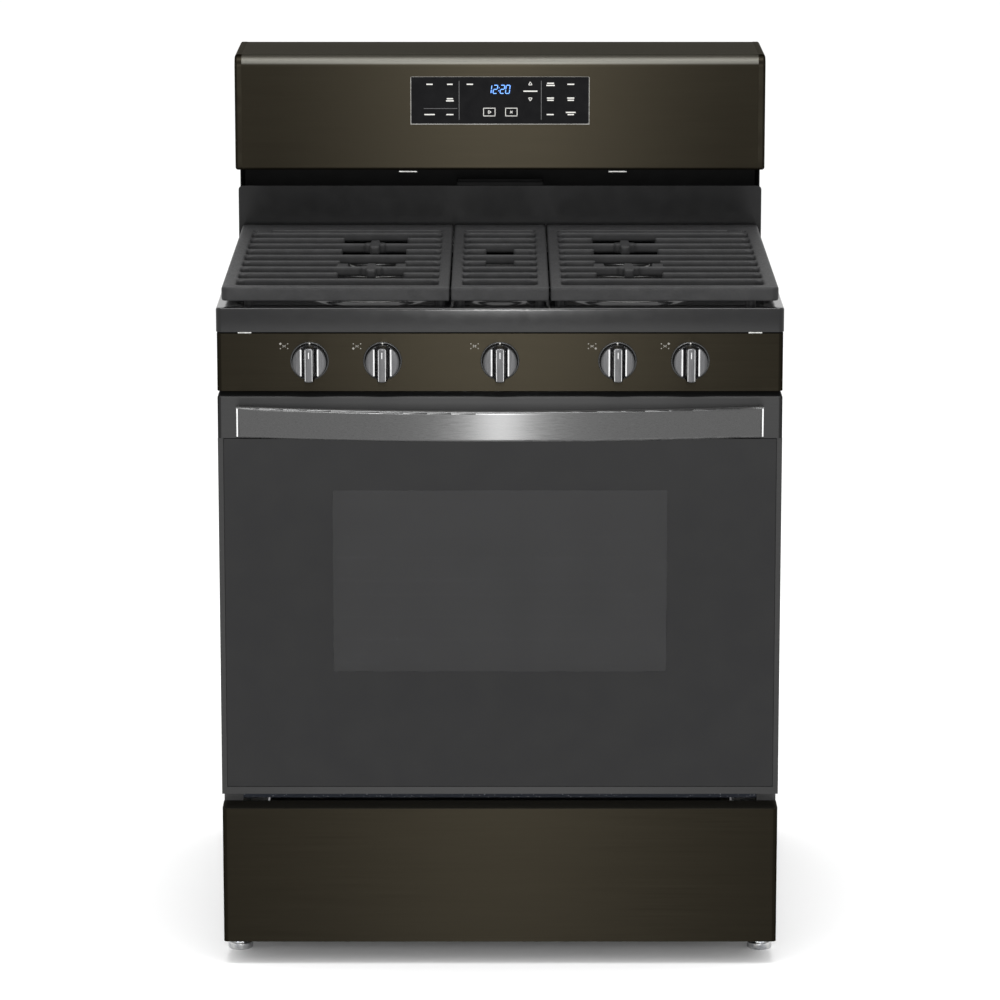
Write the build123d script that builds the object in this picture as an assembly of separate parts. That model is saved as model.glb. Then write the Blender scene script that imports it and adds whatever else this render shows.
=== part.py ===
from build123d import *
import math
import os

# Freestanding gas range: oven with a drop-down door, storage drawer, five
# burners under three lift-off grates, and an overhanging backguard.
# Millimetres. +Z up, the front faces -Y, +X is to the right seen from the
# front. The origin is on the floor, under the middle of the whole range.

# ---- overall sizes ----
WIDTH = 759.0             # cooktop and backguard, side to side
DEPTH = 735.0             # front of the handle to the rear cover
EDGE_HEIGHT = 914.0       # floor to the rim of the cooktop

# ---- fronts ----
FASCIA_INSET = 1.0        # fascias stop this far inside the cooktop's sides
HANDLE_REACH = 63.5       # handle front ahead of the door face
LIP_PROUD = 1.5           # cooktop lip ahead of the door face
DOOR_DEPTH = 41.0         # door face to the back of its liner
DOOR_TO_FRAME = 5.0       # liner to the oven front frame
FOOT_GAP = 32.0           # floor to the drawer front
DRAWER_HEIGHT = 189.0     # drawer front
DRAWER_TO_DOOR = 21.0     # dark gap under the door
DOOR_TO_PANEL = 7.0       # dark gap over the door
PANEL_HEIGHT = 78.0       # knob panel
PANEL_TO_LIP = 2.5
LIP_HEIGHT = 32.5         # front lip of the cooktop
SHEET = 1.5               # fascia sheet
SKIN = 1.2                # body panel sheet

# ---- oven door ----
TRIM_HEIGHT = 57.0        # metal band across the top of the door
DOOR_STRIP = 7.0          # metal strip beside the glass
DOOR_SILL = 10.0          # metal strip below the glass
GLASS_THICK = 4.0
WINDOW_SIDE = 154.5       # cooktop side to the window
WINDOW_SILL = 172.0       # door bottom to window bottom
WINDOW_HEAD = 72.0        # window top to the trim band
HINGE_RISE = 16.0         # hinge pin above the door's lower edge
HINGE_BACK = 20.0         # hinge pin behind the door face
HINGE_INSET = 38.5        # hinge centre inside the fascia's side
HINGE_PIN_RADIUS = 4.0
RUNNING_GAP = 0.05        # radial clearance of a pin or shaft in its hole
HANDLE_SIDE = 27.5        # cooktop side to the end of the bar
HANDLE_TALL = 41.0
HANDLE_THICK = 12.0
HANDLE_BOW = 32.0         # ends of the bar behind its middle
HANDLE_DROP = 29.5        # door top to the middle of the bar
HANDLE_POST = 16.0        # width of an end mount

# ---- oven ----
CAVITY_SIDE = 73.0        # cooktop side to the cavity's outer wall
CAVITY_HEAD = 54.0        # door top to the cavity's inner ceiling
CAVITY_BASE = 22.0        # door bottom to the underside of the cavity
BURNER_BOX = 38.0         # space under the oven floor
CAVITY_TO_REAR = 145.5    # cavity's rear wall to the rear cover
CAVITY_WALL = 1.5
LOWER_RACK_RISE = 100.0   # oven floor to the lower rack
RACK_SPACING = 117.0
RACK_WIRE = 3.2           # radius of the rack's frame
RACK_ROD = 2.2            # radius of the rack's bars
RACK_RODS = 17
RACK_TRAVEL_GAP = 55.0    # rack front to the front frame
RACK_TO_LAMP = 1.3        # rack's rear to the lamp's cover
LAMP_COVER = 22.0         # depth of the lamp's glass
LAMP_COVER_RADIUS = 25.0
OVEN_TUBE = 9.0           # radius of the oven's burner tubes
OVEN_TUBE_BEND = 60.0
ROPE_WIDE = 8.0           # width of the door's seal
ROPE_CORNER = 26.0
INSULATION_TO_HINGE = 10.5
INSULATION_TOP = 30.0
INSULATION_REAR = 36.0

# ---- storage drawer ----
DRAWER_BOX_SIDE = 57.5    # cooktop side to the drawer box
DRAWER_BOX_RISE = 18.0    # drawer front's lower edge to the box floor
DRAWER_BOX_HEIGHT = 135.0
DRAWER_TO_REAR = 213.0    # drawer box to the rear cover
RUNNER_REACH = 9.0        # runner flange beside the box
RUNNER_RISE = 50.0        # box floor to the runner

# ---- cooktop ----
COLUMN_DEPTH = 113.0      # cooktop's rear edge to the rear cover
RIM_WIDTH = 24.5          # flat rim round the recess
RIM_FRONT = 22.5
RIM_REAR = 14.5
RECESS = 14.0             # depth of the recess
RECESS_CORNER = 24.0
RECESS_SWEEP = 8.4        # rounding where the recess's walls meet its floor
PAN = 2.0                 # thickness of the cooktop
PAN_CORNER = 8.0          # upright front corners of the cooktop
PAN_EDGE = 3.0            # rounding of its top edges
IGNITER_HOLE = 3.2
BURNER_X = 176.0
FRONT_BURNER_BAR = 2      # grate bar over each burner's centre, counted from 0
OVAL_BURNER_BAR = 4
REAR_BURNER_BAR = 6
FRONT_HEAD_RADIUS = 44.0
REAR_HEAD_RADIUS = 38.0
OVAL_HEAD = (62.0, 200.0)
NECK_RADIUS = 15.0
HOLDER_WALL = 5.0         # jet holder round the neck
HEAD_TALL = 11.0
CAP_TALL = 6.0
CAP_INSET = 4.0

# ---- grates ----
GRATE_SIDE = 7.0          # cooktop side to the grate
GRATE_FRONT = 12.0        # cooktop front to the grate
GRATE_REAR = 9.0          # grate to the cooktop's rear edge
GRATE_SEAM = 2.0
CENTRE_GRATE = 131.0
GRATE_TOP = 26.0          # grate top above the cooktop rim
GRATE_TALL = 13.0
FRONT_SKIRT = 5.5         # how far the front rail hangs below the bars
GRATE_CORNER = 9.0        # outer corners of the outer grates
GRATE_EDGE = 2.5          # rounding of a grate's top edges
GRATE_INNER_CORNER = 8.0  # inner corners between the rails
BAR_LET_IN = 6.0          # how far a bar starts inside the grate's edge
FINGER_WIDE = 13.0
FINGER_LONG = 56.0
FINGER_WING = (28.0, 16.0)
STUB_SPACING = 40.0       # stubs on either side of the front burner
STUB_WIDE = 15.0
STUB_LONG = 26.0
REAR_WEB = (35.0, 20.0, 24.0)  # in from the edge, wide, long
FOOT_INSET = 12.0         # inner feet in from the grate's edge
FOOT_SUNK = 4.0           # foot tops below the grate's top
BAR_WIDE = 7.5
BARS = 9
FIRST_BAR = 82.0          # first bar behind the cooktop's front
LAST_BAR = 82.0           # last bar ahead of the cooktop's rear
FRONT_RAIL = 19.0
REAR_RAIL = 55.0
OUTER_RAIL = 19.0
INNER_RAIL = 15.0
WEB_REACH = 13.0          # webs where the bars meet the rails
WEB_FLARE = 7.0
OUTER_GAP = 89.0          # opening over a round burner
CENTRE_GAP = 38.0         # opening over the oval burner
FOOT_RADIUS = 6.0
FOOT_TO_WALL = 18.0       # foot's centre to the recess's walls
LOOSE = 0.4               # gap under a piece that only rests

# ---- knobs ----
INNER_KNOB = 157.0        # knob centres beside the middle one
OUTER_KNOB = 254.4
KNOB_RADIUS = 23.0
KNOB_DEPTH = 34.0
GRIP_WIDE = 14.0
GRIP_DEPTH = 22.0
BEZEL_RADIUS = 26.0
BEZEL_THICK = 2.0
STEM_RADIUS = 4.0
STEM_TRAVEL = 3.0

# ---- backguard ----
RISER_TOP = 81.0          # riser top above the cooktop rim
VENT_GAP = 31.0
HOUSING_HEIGHT = 165.0
HOUSING_OVERHANG = 55.3   # housing face ahead of the riser
END_CAP = 10.0
HOUSING_ROUND = 16.0
DISPLAY = (254.0, 67.0)
DISPLAY_BELOW_TOP = 31.0
RISER_THICK = 3.0
RISER_CORNER = 6.0
LOUVRE_PITCH = 14.0
LOUVRE_SLOT = 5.0

# ---- small parts ----
SCREW_HOLE = 2.1
SCREW_HEAD = 3.6
SCREW_SHANK = 2.0
FASCIA_CORNER = 6.0       # upright front corners of the knob panel and drawer
SUPPLY_TUBE = 3.2         # radius of the burners' supply tubes
SUPPLY_BEND = 10.0

# ---- places worked out from the sizes above ----
HANDLE_FRONT = -DEPTH / 2
REAR = DEPTH / 2
DOOR_FACE = HANDLE_FRONT + HANDLE_REACH
DOOR_BACK = DOOR_FACE + DOOR_DEPTH
FRAME_FACE = DOOR_BACK + DOOR_TO_FRAME
FLANGE_FACE = FRAME_FACE - 2.5
COOKTOP_FRONT = DOOR_FACE - LIP_PROUD
COOKTOP_REAR = REAR - COLUMN_DEPTH
COOKTOP_LENGTH = COOKTOP_REAR - COOKTOP_FRONT
BODY_REAR = REAR - 2.0
FASCIA = WIDTH / 2 - FASCIA_INSET
BODY_SIDE = FASCIA - 0.5
LIP_BOTTOM = EDGE_HEIGHT - LIP_HEIGHT
PANEL_TOP = LIP_BOTTOM - PANEL_TO_LIP
PANEL_BOTTOM = PANEL_TOP - PANEL_HEIGHT
DOOR_TOP = PANEL_BOTTOM - DOOR_TO_PANEL
DRAWER_TOP = FOOT_GAP + DRAWER_HEIGHT
DOOR_BOTTOM = DRAWER_TOP + DRAWER_TO_DOOR
TRIM_BOTTOM = DOOR_TOP - TRIM_HEIGHT
WINDOW_BOTTOM = DOOR_BOTTOM + WINDOW_SILL
WINDOW_TOP = TRIM_BOTTOM - WINDOW_HEAD
HINGE_Y = DOOR_FACE + HINGE_BACK
HINGE_Z = DOOR_BOTTOM + HINGE_RISE
HINGE_X = FASCIA - HINGE_INSET
HANDLE_Z = DOOR_TOP - HANDLE_DROP
HANDLE_LENGTH = WIDTH - 2 * HANDLE_SIDE
WINDOW_WIDTH = WIDTH - 2 * WINDOW_SIDE
CAVITY_X = WIDTH / 2 - CAVITY_SIDE
CAVITY_TOP = DOOR_TOP - CAVITY_HEAD
CAVITY_BOTTOM = DOOR_BOTTOM + CAVITY_BASE
CAVITY_FRONT = FRAME_FACE + 2.0
CAVITY_REAR = REAR - CAVITY_TO_REAR
OVEN_FLOOR = CAVITY_BOTTOM + BURNER_BOX
RACK_HEIGHTS = [OVEN_FLOOR + LOWER_RACK_RISE, OVEN_FLOOR + LOWER_RACK_RISE + RACK_SPACING]
RACK_X = CAVITY_X - 12.0
RACK_FRONT = FRAME_FACE + RACK_TRAVEL_GAP
RACK_REAR = CAVITY_REAR - CAVITY_WALL - LAMP_COVER - RACK_TO_LAMP - RACK_WIRE
RACK_LENGTH = RACK_REAR - RACK_FRONT
INSULATION_X = HINGE_X - INSULATION_TO_HINGE
PAN_TOP = EDGE_HEIGHT - RECESS
PAN_UNDER = PAN_TOP - PAN
GRATE_Z = EDGE_HEIGHT + GRATE_TOP
GRATE_LENGTH = COOKTOP_LENGTH - GRATE_FRONT - GRATE_REAR
BAR_PITCH = (COOKTOP_LENGTH - FIRST_BAR - LAST_BAR) / (BARS - 1)
FRONT_BURNER = FIRST_BAR + BAR_PITCH * FRONT_BURNER_BAR
REAR_BURNER = FIRST_BAR + BAR_PITCH * REAR_BURNER_BAR
DRAWER_BOX_X = WIDTH / 2 - DRAWER_BOX_SIDE
DRAWER_REAR = REAR - DRAWER_TO_REAR
DRAWER_FLOOR = FOOT_GAP + DRAWER_BOX_RISE
RUNNER_Z = DRAWER_FLOOR + RUNNER_RISE
BASE_BOTTOM = FOOT_GAP - 8.0
BASE_TOP = BASE_BOTTOM + 36.0
RAIL_INNER = BODY_SIDE - 34.0
PANEL_FACE = DOOR_FACE + 1.0
KNOB_Z = PANEL_BOTTOM + 41.0
KNOB_XS = [-OUTER_KNOB, -INNER_KNOB, 0.0, INNER_KNOB, OUTER_KNOB]
KNOB_FACE = PANEL_FACE - BEZEL_THICK - KNOB_DEPTH
VALVE_FRONT = PANEL_FACE + 39.0
MANIFOLD_Y = VALVE_FRONT + 50.0
MANIFOLD_RADIUS = 9.5
HOLDER_RADIUS = NECK_RADIUS + HOLDER_WALL
BURNERS = [
    (-BURNER_X, COOKTOP_FRONT + REAR_BURNER, REAR_HEAD_RADIUS),
    (-BURNER_X, COOKTOP_FRONT + FRONT_BURNER, FRONT_HEAD_RADIUS),
    (BURNER_X, COOKTOP_FRONT + FRONT_BURNER, FRONT_HEAD_RADIUS),
    (BURNER_X, COOKTOP_FRONT + REAR_BURNER, REAR_HEAD_RADIUS),
]
OVAL_Y = COOKTOP_FRONT + FIRST_BAR + BAR_PITCH * OVAL_BURNER_BAR
RISER_FACE = COOKTOP_REAR + 0.3
RISER_BACK = RISER_FACE + RISER_THICK
VENT_BOTTOM = EDGE_HEIGHT + RISER_TOP
HOUSING_BOTTOM = VENT_BOTTOM + VENT_GAP
HOUSING_TOP = HOUSING_BOTTOM + HOUSING_HEIGHT
HOUSING_FACE = RISER_FACE - HOUSING_OVERHANG
COVER_BOTTOM = LIP_BOTTOM - 20.0
DUCT_Y = (CAVITY_REAR + INSULATION_REAR + 2.0, CAVITY_REAR + INSULATION_REAR + 34.0)
DUCT_HALF = 62.0
DUCT_Z = (CAVITY_TOP - 46.0, CAVITY_TOP - 10.0)
LAMP_AT = (-0.72 * CAVITY_X, CAVITY_TOP - 50.0)
LAMP_RADIUS = 15.0
FEED_X = BODY_SIDE - 28.0
REGULATOR_AT = (FEED_X - 65.0, BODY_REAR - 47.0, 150.0)
INLET_RADIUS = 9.3
INLET_LENGTH = 16.0
LEG_YS = (FRAME_FACE + 32.0, BODY_REAR - 42.0)
LEG_X = BODY_SIDE - 18.0
LEG_STUD = 5.0


def block(x, y, z):
    """Box between two x values, two y values and two z values."""
    centre = Pos((x[0] + x[1]) / 2, (y[0] + y[1]) / 2, (z[0] + z[1]) / 2)
    return centre * Box(x[1] - x[0], y[1] - y[0], z[1] - z[0])


def rod_x(x, y, z, radius):
    """Round bar along X between two x values."""
    return Pos((x[0] + x[1]) / 2, y, z) * Rot(0, 90, 0) * Cylinder(radius, x[1] - x[0])


def rod_y(x, y, z, radius):
    """Round bar along Y between two y values."""
    return Pos(x, (y[0] + y[1]) / 2, z) * Rot(90, 0, 0) * Cylinder(radius, y[1] - y[0])


def rod_z(x, y, z, radius):
    """Round bar along Z between two z values."""
    return Pos(x, y, (z[0] + z[1]) / 2) * Cylinder(radius, z[1] - z[0])


def with_mirror(shape):
    """The shape and its twin on the other side of the range."""
    return shape + mirror(shape, about=Plane.YZ)


def tube(points, radius, bend):
    """Round bar along straight runs joined by arcs of one bend radius."""
    path = FilletPolyline(*points, radius=bend)
    return sweep(Plane(path @ 0, z_dir=path % 0) * Circle(radius), path=path)


def tray(x, y, z, wall, corner):
    """Sheet pan open towards +Y, its front's upright corners rounded."""
    outer = block(x, y, z)
    corners = outer.edges().filter_by(Axis.Z).group_by(Axis.Y)[0]
    outer = fillet(corners, corner)
    hollow = block((x[0] + wall, x[1] - wall), (y[0] + wall, y[1] + 1), (z[0] + wall, z[1] - wall))
    inner_corners = hollow.edges().filter_by(Axis.Z).group_by(Axis.Y)[0]
    return outer - fillet(inner_corners, corner - wall)


# ---- body ----

def base_frame():
    """Ring of folded channels that carries the body and takes the legs."""
    side = block((RAIL_INNER, BODY_SIDE - 2), (FRAME_FACE + 4, BODY_REAR - 4), (BASE_BOTTOM, BASE_TOP))
    side -= block((RAIL_INNER + 2, BODY_SIDE + 1), (FRAME_FACE + 6, BODY_REAR - 6),
                  (BASE_BOTTOM + 2, BASE_TOP - 2))
    for y in LEG_YS:
        side -= rod_z(LEG_X, y, (BASE_BOTTOM - 1, BASE_BOTTOM + 3), LEG_STUD + 0.2)
    front = block((-RAIL_INNER - 1, RAIL_INNER + 1), (FRAME_FACE + 4, FRAME_FACE + 20),
                  (BASE_BOTTOM, BASE_BOTTOM + 18))
    rear = block((-RAIL_INNER - 1, RAIL_INNER + 1), (BODY_REAR - 30, BODY_REAR - 4),
                 (BASE_BOTTOM, BASE_TOP))
    rear -= block((-RAIL_INNER + 4, RAIL_INNER - 4), (BODY_REAR - 28, BODY_REAR + 1),
                  (BASE_BOTTOM + 2, BASE_TOP - 2))
    return with_mirror(side) + front + rear


def leveling_legs():
    """Four threaded studs on round feet, screwed up into the base frame."""
    legs = []
    for x in (-LEG_X, LEG_X):
        for y in LEG_YS:
            foot = rod_z(x, y, (0, 9), 17)
            foot = fillet(foot.edges(), 1.5)
            hex_nut = Pos(x, y, 9) * extrude(RegularPolygon(10, 6), 6)
            legs.append(foot + hex_nut + rod_z(x, y, (9, BASE_TOP - 6), LEG_STUD))
    return Compound(children=legs)


def side_panel():
    """Painted side sheet on the right, flanges turned in at front, rear and top."""
    z = (FOOT_GAP - 2, LIP_BOTTOM - 1.5)
    inner = BODY_SIDE - 26
    sheet = block((BODY_SIDE - SKIN, BODY_SIDE), (FLANGE_FACE, BODY_REAR - 1.5), z)
    sheet += block((inner, BODY_SIDE), (FLANGE_FACE, FLANGE_FACE + SKIN), z)
    sheet += block((inner, BODY_SIDE), (BODY_REAR - 1.5 - SKIN, BODY_REAR - 1.5), (BASE_TOP + 2, z[1]))
    sheet += block((inner, BODY_SIDE), (FLANGE_FACE, BODY_REAR - 1.5), (z[1] - SKIN, z[1]))
    return sheet


REAR_SCREWS = [(x, z) for x in (-BODY_SIDE + 14, 0, BODY_SIDE - 14)
               for z in (DRAWER_TOP + 20, (DRAWER_TOP + PANEL_TOP) / 2, COVER_BOTTOM - 14)]
COVER_SCREWS = [(x, HOUSING_BOTTOM + 20) for x in (-BODY_SIDE + 40, -90, 90, BODY_SIDE - 40)]
INLET_AT = (-BODY_SIDE + 70, DRAWER_TOP + 42)
HOUSING_SCREWS = [(-FASCIA + 43.5, HOUSING_FACE + 24), (FASCIA - 43.5, HOUSING_FACE + 24)]


def rear_panel():
    """Flat back sheet with a low opening left for the gas connection."""
    x = (-BODY_SIDE + 2, BODY_SIDE - 2)
    sheet = block(x, (BODY_REAR - SKIN, BODY_REAR), (DRAWER_TOP + 6, LIP_BOTTOM - 4))
    for row in range(4):
        for side in (-1, 1):
            z = DRAWER_TOP + 80 + LOUVRE_PITCH * row
            slot = (side * 190 - 70, side * 190 + 70)
            sheet -= block(slot, (BODY_REAR - 5, BODY_REAR + 5), (z, z + LOUVRE_SLOT))
    for x, z in REAR_SCREWS:
        sheet -= rod_y(x, (BODY_REAR - 5, BODY_REAR + 5), z, SCREW_HOLE)
    return sheet - rod_y(INLET_AT[0], (BODY_REAR - 5, BODY_REAR + 5), INLET_AT[1], 9)


def power_inlet():
    """Moulded bush in the rear panel where the supply cord would enter."""
    x, z = INLET_AT
    bush = rod_y(x, (BODY_REAR - 8, BODY_REAR), z, 8.8) + rod_y(x, (BODY_REAR, REAR - 0.2), z, 13)
    return bush - rod_y(x, (BODY_REAR - 9, REAR + 1), z, 4.5)


def oven_front_frame():
    """Enamelled face frame round the oven's mouth, with slots for the hinge arms."""
    x = BODY_SIDE - 3
    z = (DRAWER_TOP + 3, DOOR_TOP + 3)
    frame = block((-x, x), (FRAME_FACE, FRAME_FACE + 2), z)
    frame += block((-x, x), (FRAME_FACE, FRAME_FACE + 32), (z[1] - 2, z[1]))
    frame += block((-x, x), (FRAME_FACE, FRAME_FACE + 32), (z[0], z[0] + 2))
    mouth = block((-CAVITY_X + CAVITY_WALL, CAVITY_X - CAVITY_WALL), (FRAME_FACE - 1, FRAME_FACE + 3),
                  (OVEN_FLOOR, CAVITY_TOP))
    frame -= fillet(mouth.edges().filter_by(Axis.Y), 18)
    for side in (-1, 1):
        frame -= block((side * HINGE_X - 6, side * HINGE_X + 6), (FRAME_FACE - 1, FRAME_FACE + 3),
                       (HINGE_Z - 10, HINGE_Z + 10))
    return frame


def oven_cavity():
    """Enamelled oven box, open at the front, with rib ledges for racks and floor."""
    outer = block((-CAVITY_X, CAVITY_X), (CAVITY_FRONT, CAVITY_REAR),
                  (CAVITY_BOTTOM, CAVITY_TOP + CAVITY_WALL))
    box = outer - block((-CAVITY_X + CAVITY_WALL, CAVITY_X - CAVITY_WALL),
                        (CAVITY_FRONT - 1, CAVITY_REAR - CAVITY_WALL),
                        (CAVITY_BOTTOM + CAVITY_WALL, CAVITY_TOP))
    flange = block((-CAVITY_X - 10, CAVITY_X + 10), (CAVITY_FRONT, CAVITY_FRONT + CAVITY_WALL),
                   (CAVITY_BOTTOM - 8, CAVITY_TOP + 10))
    flange -= block((-CAVITY_X + 0.5, CAVITY_X - 0.5), (CAVITY_FRONT - 1, CAVITY_FRONT + 3),
                    (CAVITY_BOTTOM + 0.5, CAVITY_TOP + 0.5))
    box += flange
    ledge_x = (CAVITY_X - CAVITY_WALL - 16, CAVITY_X - 0.5)
    ledge_y = (CAVITY_FRONT + 12, CAVITY_REAR - 12)
    for rack_z in RACK_HEIGHTS:
        top = rack_z - RACK_WIRE - LOOSE
        box += with_mirror(block(ledge_x, ledge_y, (top - 7, top)))
    floor_ledge = block((CAVITY_X - 14, CAVITY_X - 0.5), ledge_y, (OVEN_FLOOR - 6, OVEN_FLOOR - 1.5))
    box += with_mirror(floor_ledge)
    box -= block((-DUCT_HALF + 3, DUCT_HALF - 3), (CAVITY_REAR - 5, CAVITY_REAR + 5),
                 (DUCT_Z[0] + 3, DUCT_Z[1] - 3))
    box -= rod_y(LAMP_AT[0], (CAVITY_REAR - 5, CAVITY_REAR + 5), LAMP_AT[1], LAMP_RADIUS + 0.3)
    return box


def oven_floor_panel():
    """Loose enamelled floor sheet over the bake burner, with flame slots at its sides."""
    x = CAVITY_X - CAVITY_WALL - 1
    panel = block((-x, x), (CAVITY_FRONT + 2, CAVITY_REAR - CAVITY_WALL - 1), (OVEN_FLOOR - 1.5, OVEN_FLOOR))
    for side in (-1, 1):
        for slot in range(8):
            y = CAVITY_FRONT + 60 + 48 * slot
            panel -= block((side * (x - 36) - 4, side * (x - 36) + 4), (y, y + 30),
                           (OVEN_FLOOR - 3, OVEN_FLOOR + 1))
    return panel


def oven_insulation():
    """Mineral wool blanket round the sides, top, bottom and rear of the oven box."""
    gap = 0.5
    wool = block((-INSULATION_X, INSULATION_X), (CAVITY_FRONT + 3, CAVITY_REAR + INSULATION_REAR),
                 (CAVITY_BOTTOM - INSULATION_TOP, CAVITY_TOP + CAVITY_WALL + INSULATION_TOP))
    wool -= block((-CAVITY_X - gap, CAVITY_X + gap), (CAVITY_FRONT - 1, CAVITY_REAR + gap),
                  (CAVITY_BOTTOM - gap, CAVITY_TOP + CAVITY_WALL + gap))
    wool -= block((-DUCT_HALF - 1, DUCT_HALF + 1), (CAVITY_REAR - 5, CAVITY_REAR + 60),
                  (DUCT_Z[0] - 1, DUCT_Z[1] + 1))
    wool -= rod_y(LAMP_AT[0], (CAVITY_REAR - 5, CAVITY_REAR + 60), LAMP_AT[1], LAMP_RADIUS + 1)
    return wool


def oven_tube_burner(half_width, front, z):
    """U-shaped burner tube fixed to the rear wall of the oven box."""
    rear = CAVITY_REAR - CAVITY_WALL
    points = [(-half_width, rear, z), (-half_width, front, z), (half_width, front, z), (half_width, rear, z)]
    return tube(points, OVEN_TUBE, OVEN_TUBE_BEND)


def oven_lamp():
    """Lamp socket through the rear wall with a domed glass cover inside the oven."""
    x, z = LAMP_AT
    inner = CAVITY_REAR - CAVITY_WALL
    socket = rod_y(x, (inner - 2, CAVITY_REAR + INSULATION_REAR - 4), z, LAMP_RADIUS)
    cover = rod_y(x, (inner - LAMP_COVER, inner), z, LAMP_COVER_RADIUS)
    cover = fillet(cover.edges().group_by(Axis.Y)[0], 12)
    return socket + cover


def flue_duct():
    """Sheet duct from the oven's rear wall up to the vent behind the riser."""
    wall = 1.2
    x = (-DUCT_HALF, DUCT_HALF)
    inner_x = (-DUCT_HALF + wall, DUCT_HALF - wall)
    duct = block(x, (CAVITY_REAR, DUCT_Y[1]), DUCT_Z)
    duct += block(x, DUCT_Y, (DUCT_Z[0], VENT_BOTTOM + 4))
    duct -= block(inner_x, (CAVITY_REAR - 1, DUCT_Y[1] - wall), (DUCT_Z[0] + wall, DUCT_Z[1] - wall))
    duct -= block(inner_x, (DUCT_Y[0] + wall, DUCT_Y[1] - wall), (DUCT_Z[0] + wall, VENT_BOTTOM + 5))
    return duct


def door_gasket():
    """Woven rope seal round the oven's mouth, clipped to the front frame."""
    y = (DOOR_BACK + 0.6, FRAME_FACE)
    x = CAVITY_X + 10
    z = (OVEN_FLOOR - 13, CAVITY_TOP + 10)
    ring = fillet(block((-x, x), y, z).edges().filter_by(Axis.Y), ROPE_CORNER)
    inner = x - ROPE_WIDE
    hole = block((-inner, inner), (y[0] - 1, y[1] + 1), (z[0] + ROPE_WIDE, z[1] - ROPE_WIDE))
    return ring - fillet(hole.edges().filter_by(Axis.Y), ROPE_CORNER - ROPE_WIDE)


def door_hinge_arms():
    """Fixed arms with hinge pins, carried by receivers behind the front frame."""
    x = HINGE_X
    arm = block((x - 4, x + 4), (HINGE_Y, FRAME_FACE + 8), (HINGE_Z - 6, HINGE_Z + 6))
    arm += rod_x((x - 4, x + 4), HINGE_Y, HINGE_Z, 6)
    arm += rod_x((x - 9, x + 9), HINGE_Y, HINGE_Z, HINGE_PIN_RADIUS)
    arm += block((x - 8, x + 8), (FRAME_FACE + 4, FRAME_FACE + 60), (HINGE_Z - 9, HINGE_Z + 34))
    return with_mirror(arm)


def drawer_rails():
    """Channel rails that guide the drawer's runner flanges, on side brackets."""
    web = DRAWER_BOX_X + RUNNER_REACH + 5
    y = (FRAME_FACE + 8, DRAWER_REAR + 37)
    rail = block((web - 9, web + 2), y, (RUNNER_Z - 9, RUNNER_Z + 9))
    rail -= block((web - 10, web), (y[0] - 1, y[1] + 1), (RUNNER_Z - 7, RUNNER_Z + 7))
    for bracket_y in (y[0] + 20, y[1] - 50):
        rail += block((web + 1, BODY_SIDE - SKIN), (bracket_y, bracket_y + 30), (RUNNER_Z - 9, RUNNER_Z + 9))
    return with_mirror(rail)


# ---- gas system ----

def gas_manifold():
    """Pipe behind the knob panel and its feed down to the regulator."""
    end = -OUTER_KNOB - 40
    rear_y = REGULATOR_AT[1]
    points = [(end, MANIFOLD_Y, KNOB_Z), (FEED_X, MANIFOLD_Y, KNOB_Z), (FEED_X, rear_y, KNOB_Z),
              (FEED_X, rear_y, REGULATOR_AT[2]), (REGULATOR_AT[0] + 30, rear_y, REGULATOR_AT[2])]
    return tube(points, MANIFOLD_RADIUS, 20.0)


def pressure_regulator():
    """Gas regulator at the lower rear, its threaded inlet facing backwards."""
    x, y, z = REGULATOR_AT
    body = rod_z(x, y, (z - 20, z + 20), 28)
    body = fillet(body.edges(), 4)
    body += rod_z(x, y, (z + 20, z + 34), 14)
    body += rod_x((x + 20, x + 30), y, z, 13)
    body += Pos(x, y, z) * Rot(-90, 0, 0) * extrude(RegularPolygon(16, 6), 44)
    mouth = y + 44
    return body - rod_y(x, (mouth - INLET_LENGTH, mouth + 1), z, INLET_RADIUS)


def burner_valves():
    """Five gas valves clamped on the manifold, bored for their stems."""
    valves = []
    rear = MANIFOLD_Y - MANIFOLD_RADIUS
    for x in KNOB_XS:
        body = block((x - 12, x + 12), (VALVE_FRONT + 6, rear + 5), (KNOB_Z - 14, KNOB_Z + 14))
        body = fillet(body.edges().filter_by(Axis.Y), 3)
        body += rod_y(x, (VALVE_FRONT, VALVE_FRONT + 8), KNOB_Z, 11)
        body -= rod_y(x, (VALVE_FRONT - 1, VALVE_FRONT + 32), KNOB_Z, STEM_RADIUS + RUNNING_GAP)
        body -= rod_x((x - 20, x + 20), MANIFOLD_Y, KNOB_Z, MANIFOLD_RADIUS)
        valves.append(body)
    return Compound(children=valves)


def valve_stem(x):
    """Push-to-turn stem from inside the valve to the knob."""
    y = (KNOB_FACE + 16, VALVE_FRONT + 26)
    return rod_y(x, y, KNOB_Z, STEM_RADIUS)


def jet_holder(x, y):
    """Cast holder under the cooktop at a tube's end, open at the top for the burner's neck."""
    holder = rod_z(x, y, (PAN_UNDER - 34, PAN_UNDER), HOLDER_RADIUS)
    holder += rod_z(x, y, (PAN_UNDER - 3, PAN_UNDER), HOLDER_RADIUS + 12)
    return holder - rod_z(x, y, (PAN_UNDER - 26, PAN_UNDER + 1), NECK_RADIUS + 0.3)


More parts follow.
